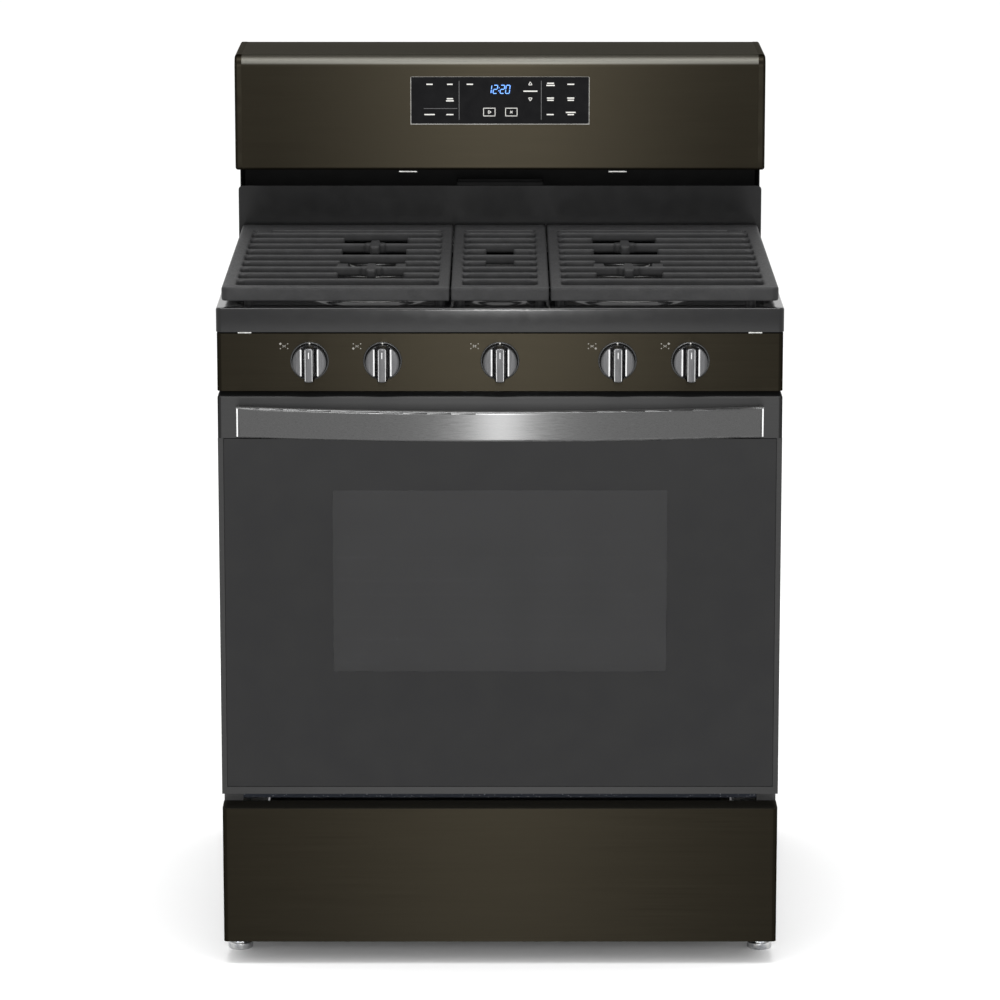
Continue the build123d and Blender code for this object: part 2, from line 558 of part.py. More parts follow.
def burner_supply_tubes():
    """Aluminium tubes from the valves to the burners, each ending in its jet holder."""
    start_y = VALVE_FRONT + 20
    low = KNOB_Z + 14
    level = low + 13
    rear_y = COOKTOP_FRONT + REAR_BURNER
    front_y = COOKTOP_FRONT + FRONT_BURNER
    end = HOLDER_RADIUS - 2
    tubes = []
    for side in (-1, 1):
        outer = side * OUTER_KNOB
        inner = side * INNER_KNOB
        target = side * BURNER_X
        rear_tube = tube([(outer, start_y, low), (outer, start_y, level), (outer, rear_y, level),
                          (target + side * end, rear_y, level)], SUPPLY_TUBE, SUPPLY_BEND)
        front_tube = tube([(inner, start_y, low), (inner, start_y, level), (inner, start_y + 30, level),
                           (target, start_y + 62, level), (target, front_y - end, level)], SUPPLY_TUBE, SUPPLY_BEND)
        tubes.append(rear_tube + jet_holder(target, rear_y))
        tubes.append(front_tube + jet_holder(target, front_y))
    middle = tube([(0, start_y, low), (0, start_y, level), (0, OVAL_Y - end, level)], SUPPLY_TUBE, SUPPLY_BEND)
    tubes.append(middle + jet_holder(0.0, OVAL_Y))
    return Compound(children=tubes)


def oval(length_x, length_y, height):
    """Upright slab with an oval outline, standing on z = 0."""
    return extrude(SlotOverall(length_y, length_x, rotation=90), height)


def burner_heads():
    """Cast aluminium flame rings standing on the cooktop, necks in the jet holders."""
    heads = []
    for x, y, radius in BURNERS:
        head = rod_z(x, y, (PAN_TOP, PAN_TOP + HEAD_TALL), radius - 3)
        head += rod_z(x, y, (PAN_TOP, PAN_TOP + 3), radius)
        head += rod_z(x, y, (PAN_UNDER - 12, PAN_TOP), NECK_RADIUS)
        heads.append(head)
    head = Pos(0, OVAL_Y, PAN_TOP) * oval(OVAL_HEAD[0] - 6, OVAL_HEAD[1] - 6, HEAD_TALL)
    head += Pos(0, OVAL_Y, PAN_TOP) * oval(OVAL_HEAD[0], OVAL_HEAD[1], 3)
    head += rod_z(0, OVAL_Y, (PAN_UNDER - 12, PAN_TOP), NECK_RADIUS)
    heads.append(head)
    return Compound(children=heads)


def burner_caps():
    """Enamelled caps that lie on the flame rings."""
    caps = []
    bottom = PAN_TOP + HEAD_TALL
    for x, y, radius in BURNERS:
        cap = rod_z(x, y, (bottom, bottom + CAP_TALL), radius - CAP_INSET)
        caps.append(fillet(cap.edges().group_by(Axis.Z)[-1], 3))
    cap = Pos(0, OVAL_Y, bottom) * oval(OVAL_HEAD[0] - 8, OVAL_HEAD[1] - 8, CAP_TALL)
    caps.append(fillet(cap.edges().group_by(Axis.Z)[-1], 3))
    return Compound(children=caps)


IGNITERS = [(x, y + radius + 7) for x, y, radius in BURNERS] + [(0.0, OVAL_Y + OVAL_HEAD[1] / 2 + 7)]


def igniters():
    """Ceramic spark pins that come up through the cooktop beside each head."""
    pins = []
    for x, y in IGNITERS:
        pin = rod_z(x, y, (PAN_UNDER - 20, PAN_TOP + 9), 3)
        pins.append(pin + rod_z(x, y, (PAN_TOP + 9, PAN_TOP + 12), 1))
    return Compound(children=pins)


# ---- cooktop and grates ----

def cooktop():
    """Enamelled pan with a recessed floor, a flat rim and a turned-down lip."""
    x = WIDTH / 2
    y = (COOKTOP_FRONT, COOKTOP_REAR)
    body = block((-x, x), y, (LIP_BOTTOM, EDGE_HEIGHT))
    body = fillet(body.edges().filter_by(Axis.Z).group_by(Axis.Y)[0], PAN_CORNER)
    body = fillet(body.faces().sort_by(Axis.Z)[-1].edges().group_by(Axis.Y)[0:-1], PAN_EDGE)
    recess_x = x - RIM_WIDTH
    recess_y = (y[0] + RIM_FRONT, y[1] - RIM_REAR)
    recess = block((-recess_x, recess_x), recess_y, (PAN_TOP, EDGE_HEIGHT + 1))
    recess = fillet(recess.edges().filter_by(Axis.Z), RECESS_CORNER)
    body -= fillet(recess.edges().group_by(Axis.Z)[0], RECESS_SWEEP)
    body -= block((-x + PAN, x - PAN), (y[0] + PAN, y[1] - PAN), (LIP_BOTTOM - 1, PAN_UNDER))
    for burner_x, burner_y, radius in BURNERS:
        body -= rod_z(burner_x, burner_y, (PAN_UNDER - 1, PAN_TOP + 1), NECK_RADIUS + 1)
    body -= rod_z(0, OVAL_Y, (PAN_UNDER - 1, PAN_TOP + 1), NECK_RADIUS + 1)
    for pin_x, pin_y in IGNITERS:
        body -= rod_z(pin_x, pin_y, (PAN_UNDER - 1, PAN_TOP + 1), IGNITER_HOLE)
    return body


def bar_along_x(x, y):
    """Cast bar along X with a rounded top, its centre line at y, its top at the grate's top."""
    section = Plane.YZ.offset(x[0]) * Pos(y, GRATE_Z - GRATE_TALL / 2) * Rectangle(BAR_WIDE, GRATE_TALL)
    bar = extrude(section, x[1] - x[0])
    return fillet(bar.edges().filter_by(Axis.X).group_by(Axis.Z)[-1], BAR_WIDE * 0.3)


def side_rails(outer_side):
    """Widths of a grate's left and right rails; outer_side is -1, 0 or 1."""
    left = OUTER_RAIL if outer_side == -1 else INNER_RAIL
    right = OUTER_RAIL if outer_side == 1 else INNER_RAIL
    return left, right


def grate_frame(x, outer_side):
    """Outline of one grate: rails on four sides, outer front corner rounded."""
    y = (COOKTOP_FRONT + GRATE_FRONT, COOKTOP_FRONT + GRATE_FRONT + GRATE_LENGTH)
    z = (GRATE_Z - GRATE_TALL, GRATE_Z)
    left, right = side_rails(outer_side)
    frame = block(x, y, z)
    skirt = block(x, (y[0], y[0] + FRONT_RAIL), (z[0] - FRONT_SKIRT, z[0] + 1))
    if outer_side != 0:
        outer = 0 if outer_side == -1 else -1
        frame = fillet(frame.edges().filter_by(Axis.Z).group_by(Axis.X)[outer], GRATE_CORNER)
        skirt_edges = skirt.edges().filter_by(Axis.Z).group_by(Axis.X)[outer]
        skirt = fillet(skirt_edges.sort_by(Axis.Y)[0], GRATE_CORNER)
    frame = fillet(frame.faces().sort_by(Axis.Z)[-1].edges(), GRATE_EDGE)
    hole = block((x[0] + left, x[1] - right), (y[0] + FRONT_RAIL, y[1] - REAR_RAIL), (z[0] - 1, z[1] + 1))
    return frame - fillet(hole.edges().filter_by(Axis.Z), GRATE_INNER_CORNER) + skirt


def grate_bars(x, rails, centre, gap, short_bars):
    """Nine bars across one grate; the short ones stop at the opening over a burner."""
    bars = []
    for index in range(BARS):
        y = COOKTOP_FRONT + FIRST_BAR + BAR_PITCH * index
        if index in short_bars:
            bars.append(bar_along_x((x[0] + BAR_LET_IN, centre - gap / 2), y))
            bars.append(bar_along_x((centre + gap / 2, x[1] - BAR_LET_IN), y))
        else:
            bars.append(bar_along_x((x[0] + BAR_LET_IN, x[1] - BAR_LET_IN), y))
        bars.append(end_web(x[0] + rails[0], 1, y))
        bars.append(end_web(x[1] - rails[1], -1, y))
    return bars


def end_web(x, direction, y):
    """Three-cornered web where a bar meets a rail at x; direction is +1 towards +X."""
    half = BAR_WIDE / 2 + WEB_FLARE
    outline = Polyline((x - direction, y - half), (x + direction * WEB_REACH, y - 1),
                       (x + direction * WEB_REACH, y + 1), (x - direction, y + half), close=True)
    return Pos(0, 0, GRATE_Z - GRATE_TALL) * extrude(make_face(outline), GRATE_TALL - 1.5)


def cross_finger(x, y):
    """Short bar front to back over a burner's centre, widened where it meets the long bar."""
    z = (GRATE_Z - GRATE_TALL, GRATE_Z)
    finger = block((x - FINGER_WIDE / 2, x + FINGER_WIDE / 2), (y - FINGER_LONG / 2, y + FINGER_LONG / 2), z)
    wing_x, wing_y = FINGER_WING
    wings = block((x - wing_x / 2, x + wing_x / 2), (y - wing_y / 2, y + wing_y / 2), z)
    return fillet((finger + wings).edges().filter_by(Axis.Z), 2)


def grate_feet(xs):
    """Feet that stand in the cooktop's recess; a lug ties each front one to the front rail."""
    front = COOKTOP_FRONT + RIM_FRONT + FOOT_TO_WALL
    rear = COOKTOP_REAR - RIM_REAR - FOOT_TO_WALL
    foot_top = GRATE_Z - FOOT_SUNK
    feet = []
    for x in xs:
        feet.append(rod_z(x, front, (PAN_TOP + LOOSE, foot_top), FOOT_RADIUS))
        feet.append(rod_z(x, rear, (PAN_TOP + LOOSE, foot_top), FOOT_RADIUS))
        lug_y = (COOKTOP_FRONT + GRATE_FRONT + FRONT_RAIL - 2, front)
        feet.append(block((x - FOOT_RADIUS, x + FOOT_RADIUS), lug_y, (GRATE_Z - GRATE_TALL, foot_top)))
    return feet


def outer_grate(side):
    """Cast iron grate over the two round burners of one side."""
    edge = WIDTH / 2 - GRATE_SIDE
    seam = CENTRE_GRATE / 2 + GRATE_SEAM
    x = (-edge, -seam) if side == -1 else (seam, edge)
    grate = grate_frame(x, side)
    for bar in grate_bars(x, side_rails(side), side * BURNER_X, OUTER_GAP, (1, 3, 5, 7)):
        grate += bar
    for depth in (FRONT_BURNER, REAR_BURNER):
        grate += cross_finger(side * BURNER_X, COOKTOP_FRONT + depth)
    stub_y = COOKTOP_FRONT + FRONT_BURNER
    z = (GRATE_Z - GRATE_TALL, GRATE_Z)
    for offset in (-STUB_SPACING, STUB_SPACING):
        stub_x = side * BURNER_X + offset
        grate += block((stub_x - STUB_WIDE / 2, stub_x + STUB_WIDE / 2), (stub_y, stub_y + STUB_LONG), z)
    web_inset, web_wide, web_long = REAR_WEB
    web_x = side * (edge - web_inset)
    web_y = COOKTOP_FRONT + FIRST_BAR + BAR_PITCH * (BARS - 1)
    grate += block((web_x - web_wide / 2, web_x + web_wide / 2), (web_y, web_y + web_long), z)
    inner_foot = side * (seam + FOOT_INSET)
    outer_foot = side * (WIDTH / 2 - RIM_WIDTH - FOOT_TO_WALL)
    for foot in grate_feet((inner_foot, outer_foot)):
        grate += foot
    return grate


def center_grate():
    """Cast iron grate over the oval burner."""
    x = (-CENTRE_GRATE / 2, CENTRE_GRATE / 2)
    grate = grate_frame(x, 0)
    for bar in grate_bars(x, side_rails(0), 0.0, CENTRE_GAP, (3, 5)):
        grate += bar
    for foot in grate_feet((x[0] + FOOT_INSET, x[1] - FOOT_INSET)):
        grate += foot
    return grate


# ---- knob panel ----

def control_panel():
    """Brushed fascia under the cooktop lip, with a hole for each valve stem."""
    y = (PANEL_FACE, FLANGE_FACE - SHEET)
    panel = tray((-FASCIA, FASCIA), y, (PANEL_BOTTOM, PANEL_TOP), SHEET, FASCIA_CORNER)
    for x in KNOB_XS:
        panel -= rod_y(x, (PANEL_FACE - 1, PANEL_FACE + 3), KNOB_Z, STEM_RADIUS + 2.5)
    return panel


def knob_bezels():
    """Black collars on the fascia behind the knobs."""
    bezels = []
    for x in KNOB_XS:
        bezel = rod_y(x, (PANEL_FACE - BEZEL_THICK, PANEL_FACE), KNOB_Z, BEZEL_RADIUS)
        bezel = fillet(bezel.edges().group_by(Axis.Y)[0], 0.8)
        bezels.append(bezel - rod_y(x, (PANEL_FACE - 5, PANEL_FACE + 1), KNOB_Z, STEM_RADIUS + 2))
    return Compound(children=bezels)


def knob(x):
    """Round knob with a raised grip across its face, bored for the stem."""
    rear = PANEL_FACE - BEZEL_THICK - STEM_TRAVEL - 1
    base = rod_y(x, (KNOB_FACE + GRIP_DEPTH, rear), KNOB_Z, KNOB_RADIUS)
    grip = block((x - GRIP_WIDE / 2, x + GRIP_WIDE / 2), (KNOB_FACE, rear),
                 (KNOB_Z - KNOB_RADIUS - 0.5, KNOB_Z + KNOB_RADIUS + 0.5))
    grip = fillet(grip.edges().group_by(Axis.Y)[0], 2)
    body = base + grip
    return body - rod_y(x, (KNOB_FACE + 14, rear + 1), KNOB_Z, STEM_RADIUS + RUNNING_GAP)


# ---- oven door ----

DOOR_HEEL = 12.0          # bevel along the door's lower rear edge


def heel_cut(shape):
    """Bevels the lower rear edge so that it clears the frame as the door swings."""
    profile = Polyline((DOOR_BACK - DOOR_HEEL - 2, DOOR_BOTTOM - 1), (DOOR_BACK + 1, DOOR_BOTTOM - 1),
                       (DOOR_BACK + 1, DOOR_BOTTOM + DOOR_HEEL + 2), close=True)
    cutter = extrude(Plane.YZ.offset(-FASCIA - 1) * make_face(profile), 2 * FASCIA + 2)
    return shape - cutter


def door_outer_glass():
    """Black-printed front glass of the door."""
    x = FASCIA - DOOR_STRIP - 0.5
    z = (DOOR_BOTTOM + DOOR_SILL + 0.5, TRIM_BOTTOM - 0.5)
    pane = block((-x, x), (DOOR_FACE, DOOR_FACE + GLASS_THICK), z)
    return fillet(pane.edges().filter_by(Axis.Y), 1.5)


def door_frame():
    """Folded frame that holds the glass, with notches at the hinge arms."""
    z = (DOOR_BOTTOM, TRIM_BOTTOM - 0.2)
    front = DOOR_FACE + 0.5
    back = DOOR_BACK - 2
    strip = FASCIA - DOOR_STRIP
    side = block((strip, FASCIA), (front, front + SHEET), z)
    side += block((FASCIA - SHEET, FASCIA), (front, back), z)
    side += block((strip, strip + SHEET), (front, DOOR_FACE + GLASS_THICK + 2), z)
    side += block((strip - 20, strip + SHEET),
                  (DOOR_FACE + GLASS_THICK + 0.5, DOOR_FACE + GLASS_THICK + 2), z)
    sill = block((-strip, strip), (front, front + SHEET), (DOOR_BOTTOM, DOOR_BOTTOM + DOOR_SILL))
    sill += block((-FASCIA + SHEET, FASCIA - SHEET), (front, back), (DOOR_BOTTOM, DOOR_BOTTOM + SHEET))
    sill += block((-strip, strip), (front, DOOR_FACE + GLASS_THICK + 2),
                  (DOOR_BOTTOM + DOOR_SILL - SHEET, DOOR_BOTTOM + DOOR_SILL))
    sill += block((-strip, strip), (DOOR_FACE + GLASS_THICK + 0.5, DOOR_FACE + GLASS_THICK + 2),
                  (DOOR_BOTTOM + DOOR_SILL - SHEET, DOOR_BOTTOM + DOOR_SILL + 18))
    frame = with_mirror(side) + sill
    for hand in (-1, 1):
        frame -= block((hand * HINGE_X - 10, hand * HINGE_X + 10), (HINGE_Y - 9, DOOR_BACK + 1),
                       (DOOR_BOTTOM - 1, HINGE_Z))
    return heel_cut(frame)


def door_top_trim():
    """Brushed cap folded over the top of the door, where the handle is fixed."""
    trim = block((-FASCIA, FASCIA), (DOOR_FACE, DOOR_BACK - 2), (TRIM_BOTTOM, DOOR_TOP))
    trim = fillet(trim.edges().filter_by(Axis.Z).group_by(Axis.Y)[0], 5)
    trim = fillet(trim.faces().sort_by(Axis.Z)[-1].edges().group_by(Axis.Y)[0:-1], 2.5)
    hollow = block((-FASCIA + SHEET, FASCIA - SHEET), (DOOR_FACE + SHEET, DOOR_BACK),
                   (TRIM_BOTTOM - 1, DOOR_TOP - SHEET))
    hollow = fillet(hollow.edges().filter_by(Axis.Z).group_by(Axis.Y)[0], 3.5)
    trim -= hollow
    trim += block((-FASCIA + 8, FASCIA - 8), (DOOR_FACE + 0.5, DOOR_FACE + 14),
                  (TRIM_BOTTOM, TRIM_BOTTOM + SHEET))
    return trim


PLUG_X = CAVITY_X - 18.0
PLUG_Z = (OVEN_FLOOR + 14.0, CAVITY_TOP - 16.0)
PLUG_BACK = DOOR_BACK + DOOR_TO_FRAME + 1.0
PANE_MARGIN = 14.0


def door_inner_liner():
    """Pressed enamel back of the door, its raised middle framing the window."""
    x = FASCIA - SHEET - 3
    y = (DOOR_BACK - 1.5, DOOR_BACK)
    liner = block((-x, x), y, (HINGE_Z + 4, DOOR_TOP - SHEET - 2))
    plug = block((-PLUG_X, PLUG_X), (y[0], PLUG_BACK), PLUG_Z)
    plug = fillet(plug.edges().filter_by(Axis.Y), 20)
    plug = fillet(plug.edges().group_by(Axis.Y)[-1], 3)
    hollow = block((-PLUG_X + 1.5, PLUG_X - 1.5), (y[0] - 1, PLUG_BACK - 1.5),
                   (PLUG_Z[0] + 1.5, PLUG_Z[1] - 1.5))
    liner = liner + plug - fillet(hollow.edges().filter_by(Axis.Y), 18.5)
    window = block((-WINDOW_WIDTH / 2 - 5, WINDOW_WIDTH / 2 + 5), (y[0] - 2, PLUG_BACK + 1),
                   (WINDOW_BOTTOM - 5, WINDOW_TOP + 5))
    liner -= fillet(window.edges().filter_by(Axis.Y), 14)
    for hand in (-1, 1):
        liner -= block((hand * HINGE_X - 10, hand * HINGE_X + 10), (y[0] - 1, y[1] + 1),
                       (HINGE_Z, HINGE_Z + 12))
    return liner


def door_inner_glass():
    """Two heat-resistant panes behind the window, the rear one held by the liner."""
    x = WINDOW_WIDTH / 2 + PANE_MARGIN
    z = (WINDOW_BOTTOM - PANE_MARGIN, WINDOW_TOP + PANE_MARGIN)
    rear = block((-x, x), (PLUG_BACK - 1.5 - GLASS_THICK, PLUG_BACK - 1.5), z)
    middle = block((-x, x), (DOOR_FACE + 18, DOOR_FACE + 18 + GLASS_THICK), z)
    return Compound(children=[rear, middle])


def door_insulation():
    """Wool pad inside the door, open at the window and clear of the hinges."""
    x = HINGE_X - 12
    y = (DOOR_FACE + GLASS_THICK + 4, DOOR_BACK - 2)
    pad = block((-x, x), y, (DOOR_BOTTOM + 24, TRIM_BOTTOM - 4))
    margin = PANE_MARGIN + 1
    pad -= block((-WINDOW_WIDTH / 2 - margin, WINDOW_WIDTH / 2 + margin), (y[0] - 1, y[1] + 1),
                 (WINDOW_BOTTOM - margin, WINDOW_TOP + margin))
    return pad


def door_hinge_channels():
    """Channels fixed in the door, their cheeks turning on the hinge pins."""
    x = HINGE_X
    y = (HINGE_Y - 8, DOOR_BACK - 3)
    z = (HINGE_Z - 8, HINGE_Z + 162)
    channel = block((x + 5, x + 8), y, z) + block((x - 8, x - 5), y, z)
    channel += block((x - 8, x + 8), (y[0], y[0] + 2), (HINGE_Z + 12, z[1]))
    channel -= rod_x((x - 10, x + 10), HINGE_Y, HINGE_Z, HINGE_PIN_RADIUS + RUNNING_GAP)
    return with_mirror(channel)


BOW_RADIUS = ((HANDLE_LENGTH / 2) ** 2 + HANDLE_BOW ** 2) / (2 * HANDLE_BOW)


def handle_blank():
    """Bowed flat bar: a stretch of a thick ring with its middle at the front."""
    ring = Cylinder(BOW_RADIUS, HANDLE_TALL) - Cylinder(BOW_RADIUS - HANDLE_THICK, HANDLE_TALL + 2)
    ring = Pos(0, HANDLE_FRONT + BOW_RADIUS, HANDLE_Z) * ring
    keep = block((-HANDLE_LENGTH / 2, HANDLE_LENGTH / 2), (HANDLE_FRONT - 1, DOOR_FACE),
                 (HANDLE_Z - 60, HANDLE_Z + 60))
    return ring & keep


def handle_bar():
    """Satin bowed bar with softened long edges."""
    bar = handle_blank()
    long_edges = bar.edges().filter_by(lambda edge: edge.length > HANDLE_LENGTH * 0.9)
    return fillet(long_edges, 3.5)


def handle_mounts():
    """End posts between the bar and the door's top trim."""
    outer = HANDLE_LENGTH / 2 - 2
    post = block((outer - HANDLE_POST, outer), (DOOR_FACE - HANDLE_REACH, DOOR_FACE),
                 (HANDLE_Z - HANDLE_TALL / 2 + 4, HANDLE_Z + HANDLE_TALL / 2 - 4))
    post -= Pos(0, HANDLE_FRONT + BOW_RADIUS, HANDLE_Z) * (
        Cylinder(BOW_RADIUS + 200, HANDLE_TALL * 2) - Cylinder(BOW_RADIUS - HANDLE_THICK, HANDLE_TALL * 3))
    return with_mirror(post)


# ---- drawer ----

def drawer_front():
    """Brushed drawer fascia folded back at its edges."""
    return tray((-FASCIA, FASCIA), (DOOR_FACE, DOOR_BACK), (FOOT_GAP, DRAWER_TOP), SHEET, FASCIA_CORNER)


def drawer_box():
    """Open steel tray with a runner flange along each side."""
    x = DRAWER_BOX_X
    y = (DOOR_FACE + SHEET + 2, DRAWER_REAR)
    z = (DRAWER_FLOOR, DRAWER_FLOOR + DRAWER_BOX_HEIGHT)
    box = block((-x, x), y, z)
    box -= block((-x + SKIN, x - SKIN), (y[0] + SKIN, y[1] - SKIN), (z[0] + SKIN, z[1] + 1))
    runner = block((x - 0.5, x + RUNNER_REACH), (FLANGE_FACE, y[1]), (RUNNER_Z - 4, RUNNER_Z + 4))
    return box + with_mirror(runner)


# ---- oven racks ----

def oven_rack(z):
    """Welded wire rack: a round frame, bars front to back and two cross bars."""
    y = (RACK_FRONT, RACK_REAR)
    rack = rod_x((-RACK_X, RACK_X), y[0], z, RACK_WIRE) + rod_x((-RACK_X, RACK_X), y[1], z, RACK_WIRE)
    for side in (-1, 1):
        rack += rod_y(side * RACK_X, y, z, RACK_WIRE)
        for end_y in y:
            rack += Pos(side * RACK_X, end_y, z) * Sphere(RACK_WIRE)
    for fraction in (1 / 3, 2 / 3):
        rack += rod_x((-RACK_X, RACK_X), y[0] + RACK_LENGTH * fraction, z, RACK_ROD)
    pitch = 2 * RACK_X / (RACK_RODS + 1)
    for index in range(RACK_RODS):
        rack += rod_y(-RACK_X + pitch * (index + 1), y, z, RACK_ROD)
    return rack


# ---- backguard ----

def riser_panel():
    """Glossy black panel behind the burners, folded back at its ends."""
    z = (LIP_BOTTOM + 2, VENT_BOTTOM)
    front = block((-FASCIA, FASCIA), (RISER_FACE, RISER_BACK), z)
    front = fillet(front.edges().filter_by(Axis.Y).group_by(Axis.Z)[-1], RISER_CORNER)
    wing = block((FASCIA - SHEET, FASCIA), (RISER_BACK - 1, REAR - 3), (z[0], z[1] - 14))
    return front + with_mirror(wing)


def housing_profile(front, top, rear, round_radius):
    """Side outline of the backguard housing, rounded at its top front edge."""
    corners = [(front, HOUSING_BOTTOM), (rear, HOUSING_BOTTOM), (rear, top), (front, top)]
    outline = make_face(Polyline(*corners, close=True))
    corner = outline.vertices().sort_by(lambda v: v.X - v.Y)[0]
    outline = fillet(corner, round_radius)
    low_corner = outline.vertices().sort_by(lambda v: v.X + v.Y)[0]
    return fillet(low_corner, 4)


def backguard_shell():
    """Folded brushed housing, open at the rear and over the vent column."""
    x = WIDTH / 2 - END_CAP
    rear = REAR - 2.5
    outer = housing_profile(HOUSING_FACE, HOUSING_TOP, rear, HOUSING_ROUND)
    shell = extrude(Plane.YZ.offset(-x) * outer, 2 * x)
    hollow = block((-x - 1, x + 1), (HOUSING_FACE + SHEET + 10, rear + 1),
                   (HOUSING_BOTTOM + SHEET, HOUSING_TOP - SHEET))
    hollow += block((-x - 1, x + 1), (HOUSING_FACE + SHEET, HOUSING_FACE + SHEET + 11),
                    (HOUSING_BOTTOM + SHEET, HOUSING_TOP - HOUSING_ROUND))
    shell -= hollow
    shell -= block((-x - 1, x + 1), (RISER_FACE + 8, rear + 1), (HOUSING_BOTTOM - 1, HOUSING_BOTTOM + 2))
    top = HOUSING_TOP - DISPLAY_BELOW_TOP
    shell -= block((-DISPLAY[0] / 2 - 0.3, DISPLAY[0] / 2 + 0.3), (HOUSING_FACE - 1, HOUSING_FACE + 3),
                   (top - DISPLAY[1] - 0.3, top + 0.3))
    for screw_x, screw_y in HOUSING_SCREWS:
        shell -= rod_z(screw_x, screw_y, (HOUSING_BOTTOM - 1, HOUSING_BOTTOM + 3), SCREW_HOLE)
    return shell


def backguard_end_caps():
    """Moulded caps that close the ends of the housing."""
    x = (WIDTH / 2 - END_CAP, WIDTH / 2)
    outline = housing_profile(HOUSING_FACE - 1, HOUSING_TOP, REAR, HOUSING_ROUND)
    cap = extrude(Plane.YZ.offset(x[0]) * outline, END_CAP)
    cap = fillet(cap.faces().sort_by(Axis.X)[-1].edges(), 4)
    return with_mirror(cap)


def backguard_rear_cover():
    """Louvred rear sheet of the backguard, its sides folded round the vent column."""
    x = FASCIA - SHEET - 1
    cover = block((-x, x), (REAR - SKIN, REAR), (COVER_BOTTOM, HOUSING_BOTTOM - 1))
    inner = WIDTH / 2 - END_CAP - 1
    cover += block((-inner, inner), (REAR - SKIN, REAR), (HOUSING_BOTTOM - 2, HOUSING_TOP - 2))
    cover += with_mirror(block((x - SKIN, x), (RISER_BACK + 2, REAR), (LIP_BOTTOM + 2, HOUSING_BOTTOM - 1)))
    for row in range(5):
        for side in (-1, 1):
            z = HOUSING_BOTTOM + 60 + LOUVRE_PITCH * row
            slot = (side * 200 - 80, side * 200 + 80)
            cover -= block(slot, (REAR - 5, REAR + 5), (z, z + LOUVRE_SLOT))
    for screw_x, screw_z in COVER_SCREWS:
        cover -= rod_y(screw_x, (REAR - 5, REAR + 5), screw_z, SCREW_HOLE)
    return cover


def display_panel():
    """Black glass touch panel set in the housing's face."""
    top = HOUSING_TOP - DISPLAY_BELOW_TOP
    pane = block((-DISPLAY[0] / 2, DISPLAY[0] / 2), (HOUSING_FACE - 1, HOUSING_FACE + 3),
                 (top - DISPLAY[1], top))
    return fillet(pane.edges().filter_by(Axis.Y), 2)


def control_board():
    """Circuit board with its relays and transformer behind the display."""
    top = HOUSING_TOP - DISPLAY_BELOW_TOP
    y = HOUSING_FACE + 14
    board = block((-DISPLAY[0] / 2 + 6, DISPLAY[0] / 2 - 6), (y, y + 1.6), (top - DISPLAY[1] + 2, top - 2))
    for index in range(4):
        x = -90 + 34 * index
        board += block((x, x + 20), (y + 1, y + 17), (top - 30, top - 12))
    board += block((58, 104), (y + 1, y + 33), (top - 56, top - 16))
    return board


def body_screws():
    """Pan-head screws of the rear panel, rear cover and housing underside."""
    screws = []
    for x, z in REAR_SCREWS:
        screws.append(rod_y(x, (BODY_REAR, BODY_REAR + 1.9), z, SCREW_HEAD)
                      + rod_y(x, (BODY_REAR - 1.3, BODY_REAR + 1), z, SCREW_SHANK))
    for x, z in COVER_SCREWS:
        screws.append(rod_y(x, (REAR - SKIN - 2.2, REAR - SKIN), z, SCREW_HEAD)
                      + rod_y(x, (REAR - SKIN - 1, REAR - 0.1), z, SCREW_SHANK))
    for x, y in HOUSING_SCREWS:
        screws.append(rod_z(x, y, (HOUSING_BOTTOM - 2.2, HOUSING_BOTTOM), SCREW_HEAD)
                      + rod_z(x, y, (HOUSING_BOTTOM - 1, HOUSING_BOTTOM + 6), SCREW_SHANK))
    return Compound(children=screws)


PARTS = {
    "base_frame": base_frame(),
    "leveling_legs": leveling_legs(),
    "side_panel_right": side_panel(),
    "side_panel_left": mirror(side_panel(), about=Plane.YZ),
    "rear_panel": rear_panel(),
    "power_inlet": power_inlet(),
    "oven_front_frame": oven_front_frame(),
    "oven_cavity": oven_cavity(),
    "oven_floor_panel": oven_floor_panel(),
    "oven_insulation": oven_insulation(),
    "bake_burner": oven_tube_burner(150.0, CAVITY_FRONT + 70, (CAVITY_BOTTOM + OVEN_FLOOR) / 2),
    "broil_burner": oven_tube_burner(110.0, CAVITY_FRONT + 90, CAVITY_TOP - 32),
    "oven_lamp": oven_lamp(),
    "flue_duct": flue_duct(),
    "door_gasket": door_gasket(),
    "door_hinge_arms": door_hinge_arms(),
    "drawer_rails": drawer_rails(),
    "gas_manifold": gas_manifold(),
    "pressure_regulator": pressure_regulator(),
    "burner_valves": burner_valves(),
    "burner_supply_tubes": burner_supply_tubes(),
    "burner_heads": burner_heads(),
    "burner_caps": burner_caps(),
    "igniters": igniters(),
    "cooktop": cooktop(),
    "grate_left": outer_grate(-1),
    "grate_center": center_grate(),
    "grate_right": outer_grate(1),
    "control_panel": control_panel(),
    "knob_bezels": knob_bezels(),
    "door_outer_glass": door_outer_glass(),
    "door_frame": door_frame(),
    "door_top_trim": door_top_trim(),
    "door_inner_liner": door_inner_liner(),
    "door_inner_glass": door_inner_glass(),
    "door_insulation": door_insulation(),
    "door_hinge_channels": door_hinge_channels(),
    "handle_bar": handle_bar(),
    "handle_mounts": handle_mounts(),
    "drawer_front": drawer_front(),
    "drawer_box": drawer_box(),
    "oven_rack_lower": oven_rack(RACK_HEIGHTS[0]),
    "oven_rack_upper": oven_rack(RACK_HEIGHTS[1]),
    "riser_panel": riser_panel(),
    "backguard_shell": backguard_shell(),
    "backguard_end_caps": backguard_end_caps(),
    "backguard_rear_cover": backguard_rear_cover(),
    "display_panel": display_panel(),
    "control_board": control_board(),
    "body_screws": body_screws(),
}
for number, knob_x in enumerate(KNOB_XS, start=1):
    PARTS[f"valve_stem_{number}"] = valve_stem(knob_x)
    PARTS[f"knob_{number}"] = knob(knob_x)

